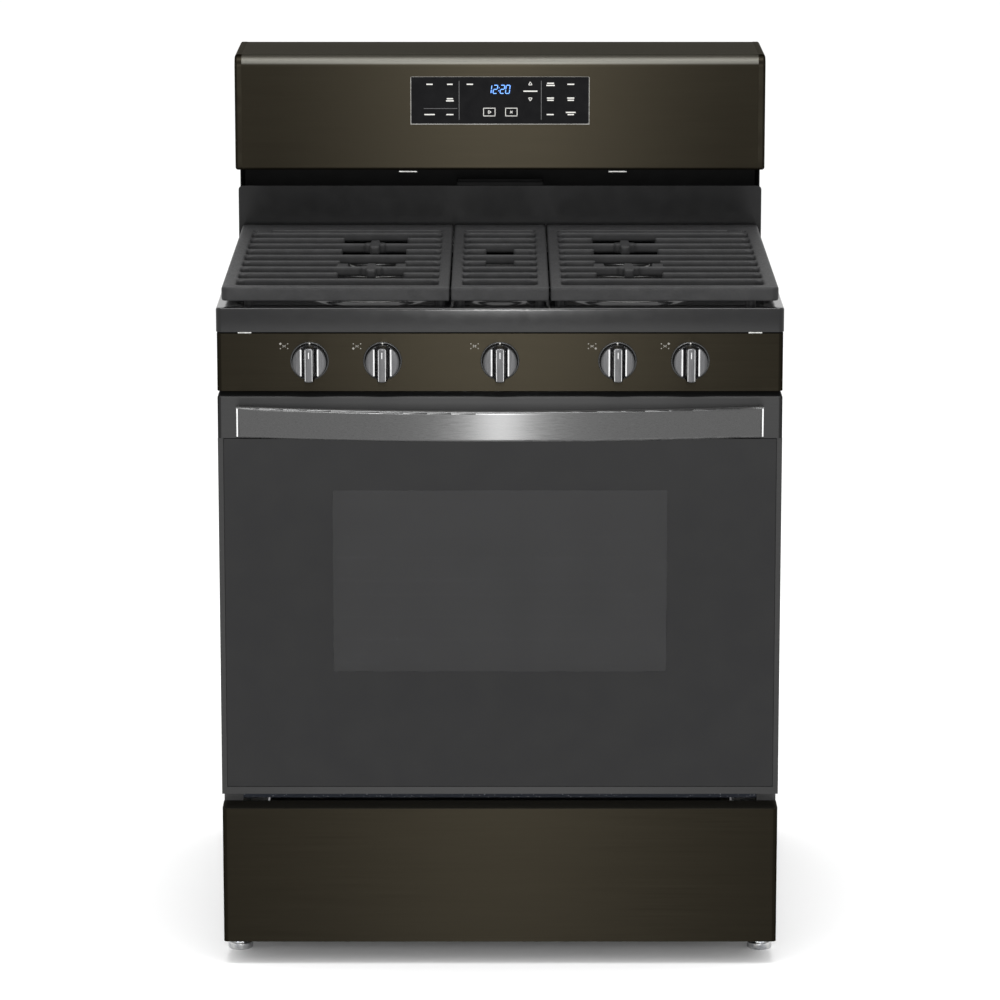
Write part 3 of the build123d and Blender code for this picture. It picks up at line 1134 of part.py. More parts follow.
os.makedirs("parts", exist_ok=True)
for name, shape in PARTS.items():
    export_step(shape, f"parts/{name}.step")
print(len(PARTS), "sub-parts")
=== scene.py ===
import math

import bpy
import numpy as np
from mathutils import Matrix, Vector


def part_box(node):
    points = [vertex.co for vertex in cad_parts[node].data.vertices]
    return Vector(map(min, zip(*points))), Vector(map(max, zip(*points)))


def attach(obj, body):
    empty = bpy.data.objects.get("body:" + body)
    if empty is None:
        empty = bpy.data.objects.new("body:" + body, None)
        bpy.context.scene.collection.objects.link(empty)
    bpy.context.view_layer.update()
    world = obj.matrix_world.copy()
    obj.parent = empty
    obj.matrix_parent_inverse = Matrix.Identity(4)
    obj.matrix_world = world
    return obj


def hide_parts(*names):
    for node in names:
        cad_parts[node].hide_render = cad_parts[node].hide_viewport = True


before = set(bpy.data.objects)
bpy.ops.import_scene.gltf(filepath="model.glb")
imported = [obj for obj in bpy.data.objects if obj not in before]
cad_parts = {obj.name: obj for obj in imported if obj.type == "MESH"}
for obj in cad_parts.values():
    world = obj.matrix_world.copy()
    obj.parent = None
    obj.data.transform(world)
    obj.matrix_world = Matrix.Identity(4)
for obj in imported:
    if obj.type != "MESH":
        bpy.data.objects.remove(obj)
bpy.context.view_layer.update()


# Base frame and levelling legs. A low frame of folded steel, spot-welded and finished in black
# baked paint, carries the body; four zinc-plated studs with round feet screw up into its corners.

def new_finish(name, colour, roughness, **values):
    """A material whose one shader has this colour (linear red, green, blue) and plain socket values."""
    finish = bpy.data.materials.new(name)
    finish.use_nodes = True
    sockets = finish.node_tree.nodes["Principled BSDF"].inputs
    sockets["Base Color"].default_value = (*colour, 1)
    sockets["Roughness"].default_value = roughness
    for socket, value in values.items():
        sockets[socket.replace("_", " ")].default_value = value
    return finish


def add(finish, kind, **inputs):
    """A node of that kind, each input set to a value or fed by another node's output."""
    node = finish.node_tree.nodes.new("ShaderNode" + kind)
    for name, value in inputs.items():
        socket = node.inputs[name.replace("_", " ")]
        if isinstance(value, bpy.types.NodeSocket):
            finish.node_tree.links.new(value, socket)
        else:
            socket.default_value = value
    return node


def feed(finish, socket, output):
    """Links a node's output to a socket of the finish's shader."""
    finish.node_tree.links.new(output, finish.node_tree.nodes["Principled BSDF"].inputs[socket])


def spread(finish, size, stretch=(1, 1, 1)):
    """Object coordinates scaled so that one unit is size metres, times stretch along each axis."""
    place = add(finish, "TexCoord").outputs["Object"]
    return add(finish, "Mapping", Vector=place, Scale=[1 / (size * s) for s in stretch]).outputs["Vector"]


def grain(finish, size, stretch=(1, 1, 1), detail=3.0):
    """Noise from 0 to 1 whose grains are size metres across, drawn out by stretch along each axis."""
    noise = add(finish, "TexNoise", Vector=spread(finish, size, stretch), Scale=1.0, Detail=detail)
    return noise.outputs["Fac"]


def tint(finish, height, dark, light, start=0.35, stop=0.65):
    """Base colour that runs from dark to light as the height goes from start to stop."""
    ramp = add(finish, "ValToRGB", Fac=height)
    for element, position, colour in zip(ramp.color_ramp.elements, (start, stop), (dark, light)):
        element.position = position
        element.color = (*colour, 1)
    feed(finish, "Base Color", ramp.outputs["Color"])


def gloss(finish, height, low, high, start=0.35, stop=0.65):
    """Roughness that runs from low to high as the height goes from start to stop."""
    level = add(finish, "MapRange", Value=height, From_Min=start, From_Max=stop, To_Min=low, To_Max=high)
    feed(finish, "Roughness", level.outputs["Result"])


def relief(finish, height, depth):
    """Stands the surface out by depth, in metres, where the height is 1."""
    bump = add(finish, "Bump", Height=height, Distance=depth, Strength=1.0)
    feed(finish, "Normal", bump.outputs["Normal"])


def dress(finish, *nodes):
    """Gives the finish to CAD nodes that keep their own shape."""
    for node in nodes:
        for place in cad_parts[node].material_slots:
            place.material = finish


baked_black = new_finish("baked_black_paint", (0.012, 0.012, 0.012), 0.45)
skin = grain(baked_black, 0.0016)
tint(baked_black, skin, (0.010, 0.010, 0.010), (0.016, 0.016, 0.015))
gloss(baked_black, grain(baked_black, 0.03), 0.38, 0.52)
relief(baked_black, skin, 0.00006)
dress(baked_black, "base_frame")

zinc = new_finish("zinc_plating", (0.50, 0.51, 0.52), 0.32, Metallic=1.0)
cloud = grain(zinc, 0.008, detail=5.0)
tint(zinc, cloud, (0.40, 0.41, 0.43), (0.58, 0.58, 0.57))
gloss(zinc, cloud, 0.24, 0.42)
dress(zinc, "leveling_legs", "door_hinge_arms", "door_hinge_channels", "drawer_rails", "body_screws")
dress(zinc, *[f"valve_stem_{number}" for number in range(1, 6)])


# Body sides. Each is one steel panel in black baked enamel with a fine pebbled skin, flanged at the
# front, top and rear, and screwed to the base frame and to the rear panel.

side_enamel = new_finish("pebbled_black_enamel", (0.014, 0.014, 0.015), 0.4)
pebble = grain(side_enamel, 0.0022, detail=2.0)
tint(side_enamel, grain(side_enamel, 0.12), (0.012, 0.012, 0.013), (0.018, 0.018, 0.018))
gloss(side_enamel, grain(side_enamel, 0.05), 0.33, 0.46)
relief(side_enamel, pebble, 0.0001)
dress(side_enamel, "side_panel_left", "side_panel_right")


# Rear panel, rear cover of the backguard and flue. The panel is bare galvanised steel sheet, whose zinc
# has set in flat crystals a few millimetres across; the cover and the flue are painted matte black, made darker
# and duller than paint so that they also stand in as painted shade in the vent gap under the housing.

galvanised = new_finish("galvanised_sheet", (0.45, 0.46, 0.47), 0.4, Metallic=1.0)
crystals = add(galvanised, "TexVoronoi", Vector=spread(galvanised, 0.011), Scale=1.0, Randomness=1.0)
crystal = add(galvanised, "SeparateColor", Color=crystals.outputs["Color"]).outputs["Red"]
tint(galvanised, crystal, (0.36, 0.37, 0.385), (0.55, 0.56, 0.57), 0.0, 1.0)
gloss(galvanised, crystal, 0.30, 0.52, 0.0, 1.0)
relief(galvanised, grain(galvanised, 0.05), 0.0002)
dress(galvanised, "rear_panel")
# Extra-dark matte black on the rear cover and flue: painted shade for the vent gap.
vent_shade_black = new_finish("matte_vent_shade_black", (0.005, 0.005, 0.005), 0.65, IOR=1.2)
tint(vent_shade_black, grain(vent_shade_black, 0.02), (0.004, 0.004, 0.004), (0.006, 0.006, 0.006))
dress(vent_shade_black, "backguard_rear_cover", "flue_duct")

moulding = new_finish("black_moulding", (0.014, 0.014, 0.014), 0.42)
relief(moulding, grain(moulding, 0.0009), 0.00005)
tint(moulding, grain(moulding, 0.01), (0.012, 0.012, 0.012), (0.018, 0.018, 0.018))
dress(moulding, "power_inlet")


# Oven box. The front frame, the cavity with its pressed shelf ridges and the floor panel are steel in
# dark blue-grey porcelain enamel, fired with fine pale specks; a rope seal lies round the opening.

porcelain = new_finish("speckled_porcelain", (0.03, 0.033, 0.04), 0.16, Coat_Weight=0.5, Coat_Roughness=0.06)
speck = add(porcelain, "TexVoronoi", Vector=spread(porcelain, 0.0035), Scale=1.0, Randomness=1.0)
tint(porcelain, speck.outputs["Distance"], (0.45, 0.47, 0.50), (0.028, 0.032, 0.042), 0.10, 0.17)
relief(porcelain, grain(porcelain, 0.006), 0.00008)
dress(porcelain, "oven_front_frame", "oven_cavity", "oven_floor_panel", "door_inner_liner")

mineral_wool = new_finish("mineral_wool", (0.55, 0.45, 0.22), 0.95, Sheen_Weight=0.4)
fibre = grain(mineral_wool, 0.0015, (9, 9, 1), 6.0)
tint(mineral_wool, fibre, (0.34, 0.26, 0.11), (0.66, 0.56, 0.32))
relief(mineral_wool, fibre, 0.0012)
dress(mineral_wool, "oven_insulation", "door_insulation")


# Door seal. A rope of woven glass fibre is clipped in a channel round the front of the oven; its
# braid is two sets of strands that wind the opposite ways and pass over and under each other.

def outline(low, high, radii, steps=8):
    """Points round a rectangle whose corners are quarter circles.

    Each point is its corner's centre plus the radius times the cosine and the sine of a quarter turn."""
    low, high = np.array(low, float), np.array(high, float)
    corner = np.array([(0, 0), (1, 0), (1, 1), (0, 1)])
    radii = np.broadcast_to(np.array(radii, float), 4)[:, None]
    centre = low + corner * (high - low) + (1 - 2 * corner) * radii
    angle = np.pi * (1 + np.arange(4) / 2)[:, None] + np.linspace(0, np.pi / 2, steps)
    arc = centre[:, None] + radii[:, None] * np.stack([np.cos(angle), np.sin(angle)], -1)
    return arc.reshape(-1, 2)


def skinned(rings, endless=False):
    """Closed surface through rings of points, an array (rings, points, 3), with flat ends unless endless.

    Faces join each ring to the next. Returns the points, the four-sided faces and the end faces."""
    count, around = rings.shape[:2]
    ring = np.arange(count if endless else count - 1)[:, None]
    spot = np.arange(around)[None, :]
    beside, ahead = (spot + 1) % around, (ring + 1) % count
    quads = np.stack([ring * around + spot, ring * around + beside,
                      ahead * around + beside, ahead * around + spot], -1).reshape(-1, 4)
    ends = [] if endless else [np.arange(around)[::-1], np.arange(around) + (count - 1) * around]
    return rings.reshape(-1, 3), quads, ends


def enclosed(points, quads, ends):
    """Volume inside a surface, below 0 if it is inside out.

    A sixth of the sum, over its triangles, of the first corner times the cross product of the other two."""
    fans = [np.stack([np.full(len(end) - 2, end[0]), end[1:-1], end[2:]], -1) for end in ends]
    corners = points[np.concatenate([quads[:, [0, 1, 2]], quads[:, [0, 2, 3]], *fans])]
    return np.einsum("ij,ij->", corners[:, 0], np.cross(corners[:, 1], corners[:, 2])) / 6


def piece(name, surfaces, finish, body, slot, *replaced, crease=35.0):
    """One object made of closed surfaces, turned outward, smooth but for edges sharper than crease degrees."""
    points, faces, start = [], [], 0
    for places, quads, ends in surfaces:
        turn = -1 if enclosed(places - places.mean(0), quads, ends) < 0 else 1
        faces += (quads[:, ::turn] + start).tolist() + [(end[::turn] + start).tolist() for end in ends]
        points.append(places)
        start += len(places)
    mesh = bpy.data.meshes.new(name)
    mesh.from_pydata(np.concatenate(points), [], faces)
    mesh.polygons.foreach_set("use_smooth", np.ones(len(faces), bool))
    mesh.set_sharp_from_angle(angle=math.radians(crease))
    mesh.materials.append(finish)
    made = bpy.data.objects.new(name, mesh)
    bpy.context.scene.collection.objects.link(made)
    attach(made, body)
    if replaced:
        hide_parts(*replaced)
    return made


glass_rope = new_finish("woven_glass_rope", (0.10, 0.10, 0.10), 0.85)
strands = grain(glass_rope, 0.0009, (1, 1, 1), 5.0)
tint(glass_rope, strands, (0.05, 0.05, 0.05), (0.20, 0.20, 0.19))
relief(glass_rope, strands, 0.0003)
seal_low, seal_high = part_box("door_gasket")
seal_radius = (seal_high.y - seal_low.y) / 2
seal_corner = 0.014
seal_rings, seal_around = 900, 12
seal_strands, seal_twist = 3, 0.7
seal_line = outline((seal_low.x + seal_radius, seal_low.z + seal_radius),
                    (seal_high.x - seal_radius, seal_high.z - seal_radius), seal_corner, 12)
seal_step = np.linalg.norm(np.roll(seal_line, -1, 0) - seal_line, axis=1)
seal_length = np.concatenate([[0], np.cumsum(seal_step)])
seal_at = np.linspace(0, seal_length[-1], seal_rings, endpoint=False)
seal_x = np.interp(seal_at, seal_length, np.append(seal_line[:, 0], seal_line[0, 0]))
seal_z = np.interp(seal_at, seal_length, np.append(seal_line[:, 1], seal_line[0, 1]))
seal_path = np.stack([seal_x, np.full(seal_rings, seal_low.y + seal_radius), seal_z], -1)
seal_ahead = np.roll(seal_path, -1, 0) - np.roll(seal_path, 1, 0)
seal_ahead /= np.linalg.norm(seal_ahead, axis=1, keepdims=True)
seal_first = np.broadcast_to([0.0, 1.0, 0.0], seal_path.shape)
seal_second = np.cross(seal_ahead, seal_first)
seal_turn = np.linspace(0, 2 * np.pi, seal_around, endpoint=False)
seal_wind = seal_twist * np.arange(seal_rings)[:, None]
seal_braid = np.cos(seal_strands * seal_turn + seal_wind) * np.cos(seal_strands * seal_turn - seal_wind)
seal_reach = seal_radius * (0.93 + 0.06 * seal_braid)
seal_side = np.cos(seal_turn)[:, None] * seal_first[:, None] + np.sin(seal_turn)[:, None] * seal_second[:, None]
seal_skin = seal_path[:, None] + seal_reach[..., None] * seal_side
piece("door_seal_rope", [skinned(seal_skin, True)], glass_rope, "range_body", "rope_seal",
      "door_gasket", crease=80.0)


# Oven burners and lamp. The bake and broil burners are bent aluminised tube, blued by heat along
# their ports; the lamp sits in a ribbed glass cover in the cavity's rear wall.

heated_tube = new_finish("heated_tube", (0.30, 0.29, 0.28), 0.42, Metallic=1.0)
heat = grain(heated_tube, 0.03, detail=4.0)
tint(heated_tube, heat, (0.16, 0.15, 0.17), (0.36, 0.33, 0.28))
gloss(heated_tube, grain(heated_tube, 0.004), 0.34, 0.55)
dress(heated_tube, "bake_burner", "broil_burner")

lamp_cover = new_finish("lamp_cover_glass", (0.85, 0.85, 0.80), 0.08, Transmission_Weight=0.7, IOR=1.47)
ribs = add(lamp_cover, "TexWave", Vector=spread(lamp_cover, 0.012), Scale=1.0, Distortion=0.3)
tint(lamp_cover, ribs.outputs["Fac"], (0.78, 0.78, 0.73), (0.92, 0.92, 0.88))
relief(lamp_cover, ribs.outputs["Fac"], 0.0006)
dress(lamp_cover, "oven_lamp")


# Oven racks. Two welded grids of steel wire with a bright nickel plate; the frame wire is thicker
# than the bars, and both slide on the ridges pressed into the cavity's sides.

nickel_plate = new_finish("bright_nickel_plate", (0.62, 0.61, 0.59), 0.14, Metallic=1.0)
draw_marks = grain(nickel_plate, 0.003, detail=4.0)
tint(nickel_plate, draw_marks, (0.52, 0.51, 0.49), (0.70, 0.69, 0.67))
gloss(nickel_plate, draw_marks, 0.10, 0.24)
dress(nickel_plate, "oven_rack_lower", "oven_rack_upper")


# Gas train. A black steel pipe carries gas from the regulator at the rear to five brass valves behind
# the knob panel, and drawn aluminium tubes run from the valves to jet holders under the burners.

gas_pipe = new_finish("black_gas_pipe", (0.03, 0.03, 0.032), 0.48)
scale_marks = grain(gas_pipe, 0.006, detail=5.0)
tint(gas_pipe, scale_marks, (0.018, 0.018, 0.019), (0.05, 0.048, 0.046))
gloss(gas_pipe, scale_marks, 0.36, 0.6)
dress(gas_pipe, "gas_manifold")

drawn_aluminium = new_finish("drawn_aluminium", (0.60, 0.61, 0.62), 0.38, Metallic=1.0)
die_skin = grain(drawn_aluminium, 0.004, detail=5.0)
tint(drawn_aluminium, die_skin, (0.50, 0.51, 0.52), (0.66, 0.67, 0.68))
gloss(drawn_aluminium, die_skin, 0.30, 0.5)
dress(drawn_aluminium, "pressure_regulator", "burner_supply_tubes")

turned_brass = new_finish("turned_brass", (0.60, 0.42, 0.16), 0.3, Metallic=1.0)
lathe_marks = grain(turned_brass, 0.0012, (1, 12, 1))
tint(turned_brass, lathe_marks, (0.50, 0.34, 0.12), (0.68, 0.50, 0.22))
gloss(turned_brass, lathe_marks, 0.22, 0.4)
dress(turned_brass, "burner_valves")


# Cooktop. One steel pan in glossy black porcelain enamel: a flat rim that turns down to a lip, a
# recess whose walls sweep down in an S, and a raised ring round each burner that holds back spills.

def smooth(t):
    """0 to 1 with level ends: three t squared less two t cubed, t held between 0 and 1."""
    t = np.clip(t, 0, 1)
    return t * t * (3 - 2 * t)


def stacked(loops):
    """Rings from pairs of a loop of x and y and its height."""
    return np.stack([np.column_stack([loop, np.full(len(loop), height)]) for loop, height in loops])


glossy_enamel = new_finish("glossy_black_enamel", (0.006, 0.006, 0.0065), 0.14, IOR=1.36)
tint(glossy_enamel, grain(glossy_enamel, 0.08), (0.0057, 0.0057, 0.006), (0.0065, 0.0065, 0.0067))
gloss(glossy_enamel, grain(glossy_enamel, 0.015), 0.13, 0.15)
relief(glossy_enamel, grain(glossy_enamel, 0.012), 0.000001)
pan_low, pan_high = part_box("cooktop")
pan_sheet = 0.002
pan_rim_front, pan_rim_side, pan_rim_rear = 0.0225, 0.0245, 0.0145
pan_depth = 0.014
pan_sweep = 0.0125
pan_front_corner, pan_rear_corner, recess_corner = 0.008, 0.0015, 0.024
pan_rear_inner, pan_rear_edge = 0.001, 0.0016
pan_edge = 0.003


def pan_loop(side, front, rear, corner, rear_corner=None):
    """The pan's outline, set in from its sides, front and rear."""
    rear_corner = corner if rear_corner is None else rear_corner
    return outline((pan_low.x + side, pan_low.y + front), (pan_high.x - side, pan_high.y - rear),
                   (corner, corner, rear_corner, rear_corner), 10)


pan_floor = pan_high.z - pan_depth
inside = pan_loop(pan_sheet, pan_sheet, pan_sheet, pan_front_corner - pan_sheet, pan_rear_inner)
loops = [(inside, pan_floor - pan_sheet), (inside, pan_low.z),
         (pan_loop(0, 0, 0, pan_front_corner, pan_rear_corner), pan_low.z)]
for turn in np.linspace(0, np.pi / 2, 7):
    inset = pan_edge * (1 - np.cos(turn))
    loops.append((pan_loop(inset, inset, inset, pan_front_corner - inset, pan_rear_edge - inset / 2),
                  pan_high.z - pan_edge * (1 - np.sin(turn))))
for part in np.linspace(0, 1, 15):
    reach = pan_sweep * part
    loops.append((pan_loop(pan_rim_side + reach, pan_rim_front + reach, pan_rim_rear + reach,
                           recess_corner - reach / 2), pan_high.z - pan_depth * smooth(part)))
pan = skinned(stacked(loops))


def burner_spots(middle_reach=0.09):
    """Centre, half slot and head radius of each burner, the slotted one within middle_reach of x = 0 last."""
    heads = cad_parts["burner_heads"].data
    places = np.empty(len(heads.vertices) * 3)
    heads.vertices.foreach_get("co", places)
    places = places.reshape(-1, 3)
    spots = []
    for side in (-1, 1):
        near = places[places[:, 0] * side > middle_reach]
        split = (near[:, 1].min() + near[:, 1].max()) / 2
        for group in (near[near[:, 1] < split], near[near[:, 1] >= split]):
            low, high = group.min(0), group.max(0)
            spots.append(((low + high) / 2, 0.0, (high[0] - low[0]) / 2))
    middle = places[np.abs(places[:, 0]) < middle_reach]
    low, high = middle.min(0), middle.max(0)
    radius = (high[0] - low[0]) / 2
    spots.append(((low + high) / 2, (high[1] - low[1]) / 2 - radius, radius))
    return spots


spots = burner_spots()
ring_clear, ring_tall, ring_wide, oval_ring = 0.043, 0.0050, 0.0085, 0.178
boss_tall, boss_reach, boss_slope = 0.0016, 1.1, 4
bowl_columns, bowl_rows = 230, 170
bowl_fade, bowl_lift, bowl_sheet = 0.01, 0.0003, 0.0012
bowl_low = np.array([pan_low.x + pan_rim_side + pan_sweep, pan_low.y + pan_rim_front + pan_sweep])
bowl_high = np.array([pan_high.x - pan_rim_side - pan_sweep, pan_high.y - pan_rim_rear - pan_sweep])
bowl_x, bowl_y = np.meshgrid(np.linspace(bowl_low[0], bowl_high[0], bowl_columns),
                             np.linspace(bowl_low[1], bowl_high[1], bowl_rows), indexing="ij")

# Round each burner the floor rises by a bell curve: the ring's height times e to the power of minus the
# square of the distance from the ring over its width. The distance is the oval's level, less one, over
# the level's slope. Under the head is a flat boss.
rise = np.zeros_like(bowl_x)
for (centre_x, centre_y, _), half_slot, radius in spots:
    across = radius + ring_clear
    deep = across if half_slot == 0 else oval_ring
    from_x, from_y = bowl_x - centre_x, bowl_y - centre_y
    reach = np.sqrt((from_x / across) ** 2 + (from_y / deep) ** 2) + 1e-6
    slope = np.sqrt((from_x / across ** 2) ** 2 + (from_y / deep ** 2) ** 2) / reach
    rise += ring_tall * np.exp(-((reach - 1) / (slope + 1e-6) / ring_wide) ** 2)
    from_slot = np.hypot(from_x, np.maximum(np.abs(from_y) - half_slot, 0))
    rise += boss_tall * smooth((boss_reach - from_slot / radius) * boss_slope)
edge_x = np.minimum(bowl_x - bowl_low[0], bowl_high[0] - bowl_x)
edge_y = np.minimum(bowl_y - bowl_low[1], bowl_high[1] - bowl_y)
rise *= smooth(np.minimum(edge_x, edge_y) / bowl_fade)


def slab(x, y, top, bottom):
    """Closed surface over a grid: a height for each of its points on top, and one level below."""
    upper = np.stack([x, y, top], -1)
    lower = np.stack([x, y, np.full_like(x, bottom)], -1)
    return skinned(np.concatenate([upper, lower[:, ::-1]], 1))


bowls = slab(bowl_x, bowl_y, pan_floor + bowl_lift + rise, pan_floor - bowl_sheet)
piece("cooktop_pan", [pan, bowls], glossy_enamel, "range_body", "cooktop_enamel", "cooktop")


# Burners. Each head is sand-blasted cast aluminium with a row of flame ports round its wall, on a
# neck through the pan; a satin black enamelled cap lies on it, and a white ceramic igniter stands by.

def slotted(centre, half_slot, radii, heights, around, ports=0, cut=0.0, cut_rings=()):
    """Turned surface whose halves are pushed apart along Y by half a slot, with ports cut into some rings.

    Each point is the centre plus the radius times the cosine and the sine of its angle. A port takes off
    the cut where the cosine of the count of ports times the angle is high."""
    angle = (np.arange(around) + 0.5) * 2 * np.pi / around
    push = np.where(np.sin(angle) >= 0, half_slot, -half_slot)
    notch = cut * smooth((np.cos(ports * angle) - 0.1) * 2)
    rings = []
    for index, (radius, height) in enumerate(zip(radii, heights)):
        reach = radius - (notch if index in cut_rings else 0.0)
        rings.append(np.stack([centre[0] + reach * np.cos(angle), centre[1] + push + reach * np.sin(angle),
                               np.full(around, height)], -1))
    return skinned(np.stack(rings))


cast_aluminium = new_finish("sand_blasted_aluminium", (0.36, 0.36, 0.355), 0.5, Metallic=1.0)
blast = grain(cast_aluminium, 0.0012, detail=4.0)
tint(cast_aluminium, grain(cast_aluminium, 0.02), (0.28, 0.28, 0.27), (0.44, 0.44, 0.43))
gloss(cast_aluminium, blast, 0.42, 0.6)
relief(cast_aluminium, blast, 0.00008)
cap_enamel = new_finish("satin_black_cap", (0.012, 0.012, 0.012), 0.32)
tint(cap_enamel, grain(cap_enamel, 0.02), (0.010, 0.010, 0.010), (0.016, 0.016, 0.016))
gloss(cap_enamel, grain(cap_enamel, 0.004), 0.26, 0.4)
relief(cap_enamel, grain(cap_enamel, 0.0015), 0.00004)
heads_low, heads_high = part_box("burner_heads")
caps_low, caps_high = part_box("burner_caps")
head_base = pan_floor + 0.0006
neck_radius = 0.0145
port_wall = 0.0035
head_inset = np.array([0, 0, 0.0012, port_wall, port_wall, port_wall, port_wall, 0.0020, 0.0024, 0.006])
head_heights = [heads_low.z, head_base, head_base, *(head_base + np.array([18, 30, 36, 40, 84, 88, 92]) / 10000),
                heads_high.z - 0.0004, heads_high.z]
port_rings = (6, 7)
port_deep, round_ports, slotted_ports = 0.0035, 42, 56
cap_inset, cap_round, cap_sunk = 0.0028, 0.0022, 0.0006
cap_turn = np.linspace(0, np.pi / 2, 6)
cap_heights = [caps_low.z, caps_low.z + 0.0002, caps_low.z + 0.0010,
               *(caps_high.z - cap_sunk - cap_round * (1 - np.sin(cap_turn))),
               caps_high.z - cap_sunk, caps_high.z - 0.0009, caps_high.z - 0.0001, caps_high.z]
heads, caps = [], []
for centre, half_slot, radius in spots:
    ports = round_ports if half_slot == 0 else slotted_ports
    heads.append(slotted(centre, half_slot, [neck_radius, neck_radius, *(radius - head_inset)], head_heights, 336,
                         ports, port_deep, port_rings))
    rim = radius - cap_inset
    cap_radii = [rim - 0.0015, rim - 0.0002, rim, *(rim - cap_round * (1 - np.cos(cap_turn))),
                 rim - 0.007, rim - 0.009, 0.012, 0.002]
    caps.append(slotted(centre, half_slot, cap_radii, cap_heights, 96))
piece("burner_port_heads", heads, cast_aluminium, "range_body", "burner_cast", "burner_heads", crease=30.0)
piece("burner_lids", caps, cap_enamel, "range_body", "burner_enamel", "burner_caps", crease=40.0)

glazed_ceramic = new_finish("glazed_ceramic", (0.72, 0.69, 0.62), 0.22, Coat_Weight=0.3)
tint(glazed_ceramic, grain(glazed_ceramic, 0.004), (0.62, 0.58, 0.50), (0.76, 0.73, 0.67))
dress(glazed_ceramic, "igniters")


# Grates. Three iron castings in matte black enamel with soft, slightly uneven edges where the sand
# mould left them; the two outer ones span a front and a rear burner, the narrow one the slotted burner.

def as_cast(name, node, body, finish, grain_size):
    """A CAD node's shape as a casting: its skin is rebuilt on a fine lattice and its edges are worn round."""
    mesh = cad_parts[node].data.copy()
    mesh.name = name
    mesh.materials.clear()
    mesh.materials.append(finish)
    made = bpy.data.objects.new(name, mesh)
    bpy.context.scene.collection.objects.link(made)
    weld = made.modifiers.new("weld", "WELD")
    weld.merge_threshold = 0.00001
    lattice = made.modifiers.new("lattice", "REMESH")
    lattice.mode = "VOXEL"
    lattice.voxel_size = grain_size
    lattice.use_smooth_shade = True
    wear = made.modifiers.new("wear", "SMOOTH")
    wear.factor = 0.5
    wear.iterations = 3
    bpy.context.view_layer.update()
    solid = bpy.data.meshes.new_from_object(made.evaluated_get(bpy.context.evaluated_depsgraph_get()))
    made.modifiers.clear()
    made.data = solid
    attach(made, body)
    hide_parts(node)
    return made


cast_iron = new_finish("enamelled_cast_iron", (0.018, 0.018, 0.019), 0.55, IOR=1.3)
sand = grain(cast_iron, 0.0014, detail=4.0)
tint(cast_iron, grain(cast_iron, 0.02), (0.013, 0.013, 0.0135), (0.018, 0.018, 0.0185))
gloss(cast_iron, sand, 0.46, 0.66)
relief(cast_iron, sand, 0.00012)
for side, body in (("left", "left_grate"), ("center", "middle_grate"), ("right", "right_grate")):
    as_cast(f"cast_grate_{side}", f"grate_{side}", body, cast_iron, 0.0018)


# Knob panel, door trim, drawer front and backguard skin. Stainless sheet with a black tint fired into
# it, brushed lengthwise: the fine scratches keep a reflection narrow across and draw it out up and down.

def brushed(name, dark, light, roughness, depth=0.000012, **values):
    """Metal with scratches a fraction of a millimetre apart that run along X, in tone, gloss and relief."""
    finish = new_finish(name, light, roughness, Metallic=1.0, Anisotropic_Rotation=0.25, **values)
    scratches = grain(finish, 0.00045, (260, 1, 1), 2.0)
    tint(finish, scratches, dark, light, 0.3, 0.7)
    gloss(finish, scratches, roughness - 0.035, roughness + 0.035, 0.3, 0.7)
    relief(finish, scratches, depth)
    feed(finish, "Tangent", add(finish, "CombineXYZ", X=1.0).outputs["Vector"])
    return finish


def bend_highlight_paint(finish, bright):
    """Paints a highlight into the base where the sheet's normal turns partly up over a bend, in place of the light
    that the bend reflects.
    """
    upward = add(finish, "SeparateXYZ", Vector=add(finish, "NewGeometry").outputs["Normal"]).outputs["Z"]
    highlight_ramp = add(finish, "ValToRGB", Fac=upward).color_ramp
    for place, level in ((0.16, 0), (0.34, 1), (0.55, 1), (0.82, 0.3)):
        element = highlight_ramp.elements.new(place)
        element.color = (level, level, level, 1)
    highlight_ramp.elements.remove(highlight_ramp.elements[0])
    highlight_ramp.elements.remove(highlight_ramp.elements[-1])
    shader = finish.node_tree.nodes["Principled BSDF"].inputs["Base Color"]
    plain = shader.links[0].from_socket
    ramp = next(node for node in finish.node_tree.nodes if node.type == "VALTORGB" and node.color_ramp == highlight_ramp)
    mixed = add(finish, "Mix")
    mixed.data_type = "RGBA"
    finish.node_tree.links.new(ramp.outputs["Color"], mixed.inputs["Factor"])
    finish.node_tree.links.new(plain, mixed.inputs[6])
    mixed.inputs[7].default_value = (*bright, 1)
    feed(finish, "Base Color", mixed.outputs[2])


black_stainless = brushed("black_stainless", (0.0098, 0.0084, 0.0058), (0.0122, 0.0106, 0.0074), 0.33,
                          Anisotropic=0.95, Specular_Tint=(0.2, 0.18, 0.13, 1))
# Painted highlight on the upward-facing bends of the control panel, drawer front and backguard skin.
bend_highlight_paint(black_stainless, (0.078, 0.076, 0.067))
dress(black_stainless, "control_panel", "drawer_front", "backguard_shell")
trim_stainless = brushed("grey_black_stainless", (0.024, 0.024, 0.024), (0.029, 0.029, 0.029), 0.42,
                         Anisotropic=0.85, Specular_Tint=(0.3, 0.3, 0.3, 1))
dress(trim_stainless, "door_top_trim", "door_frame")
panel_low, panel_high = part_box("control_panel")
clip_x, clip_wide, clip_thick, clip_back = 0.341, 0.018, 0.003, 0.004
clip_low, clip_high = panel_high.z + 0.0003, pan_low.z - 0.0003


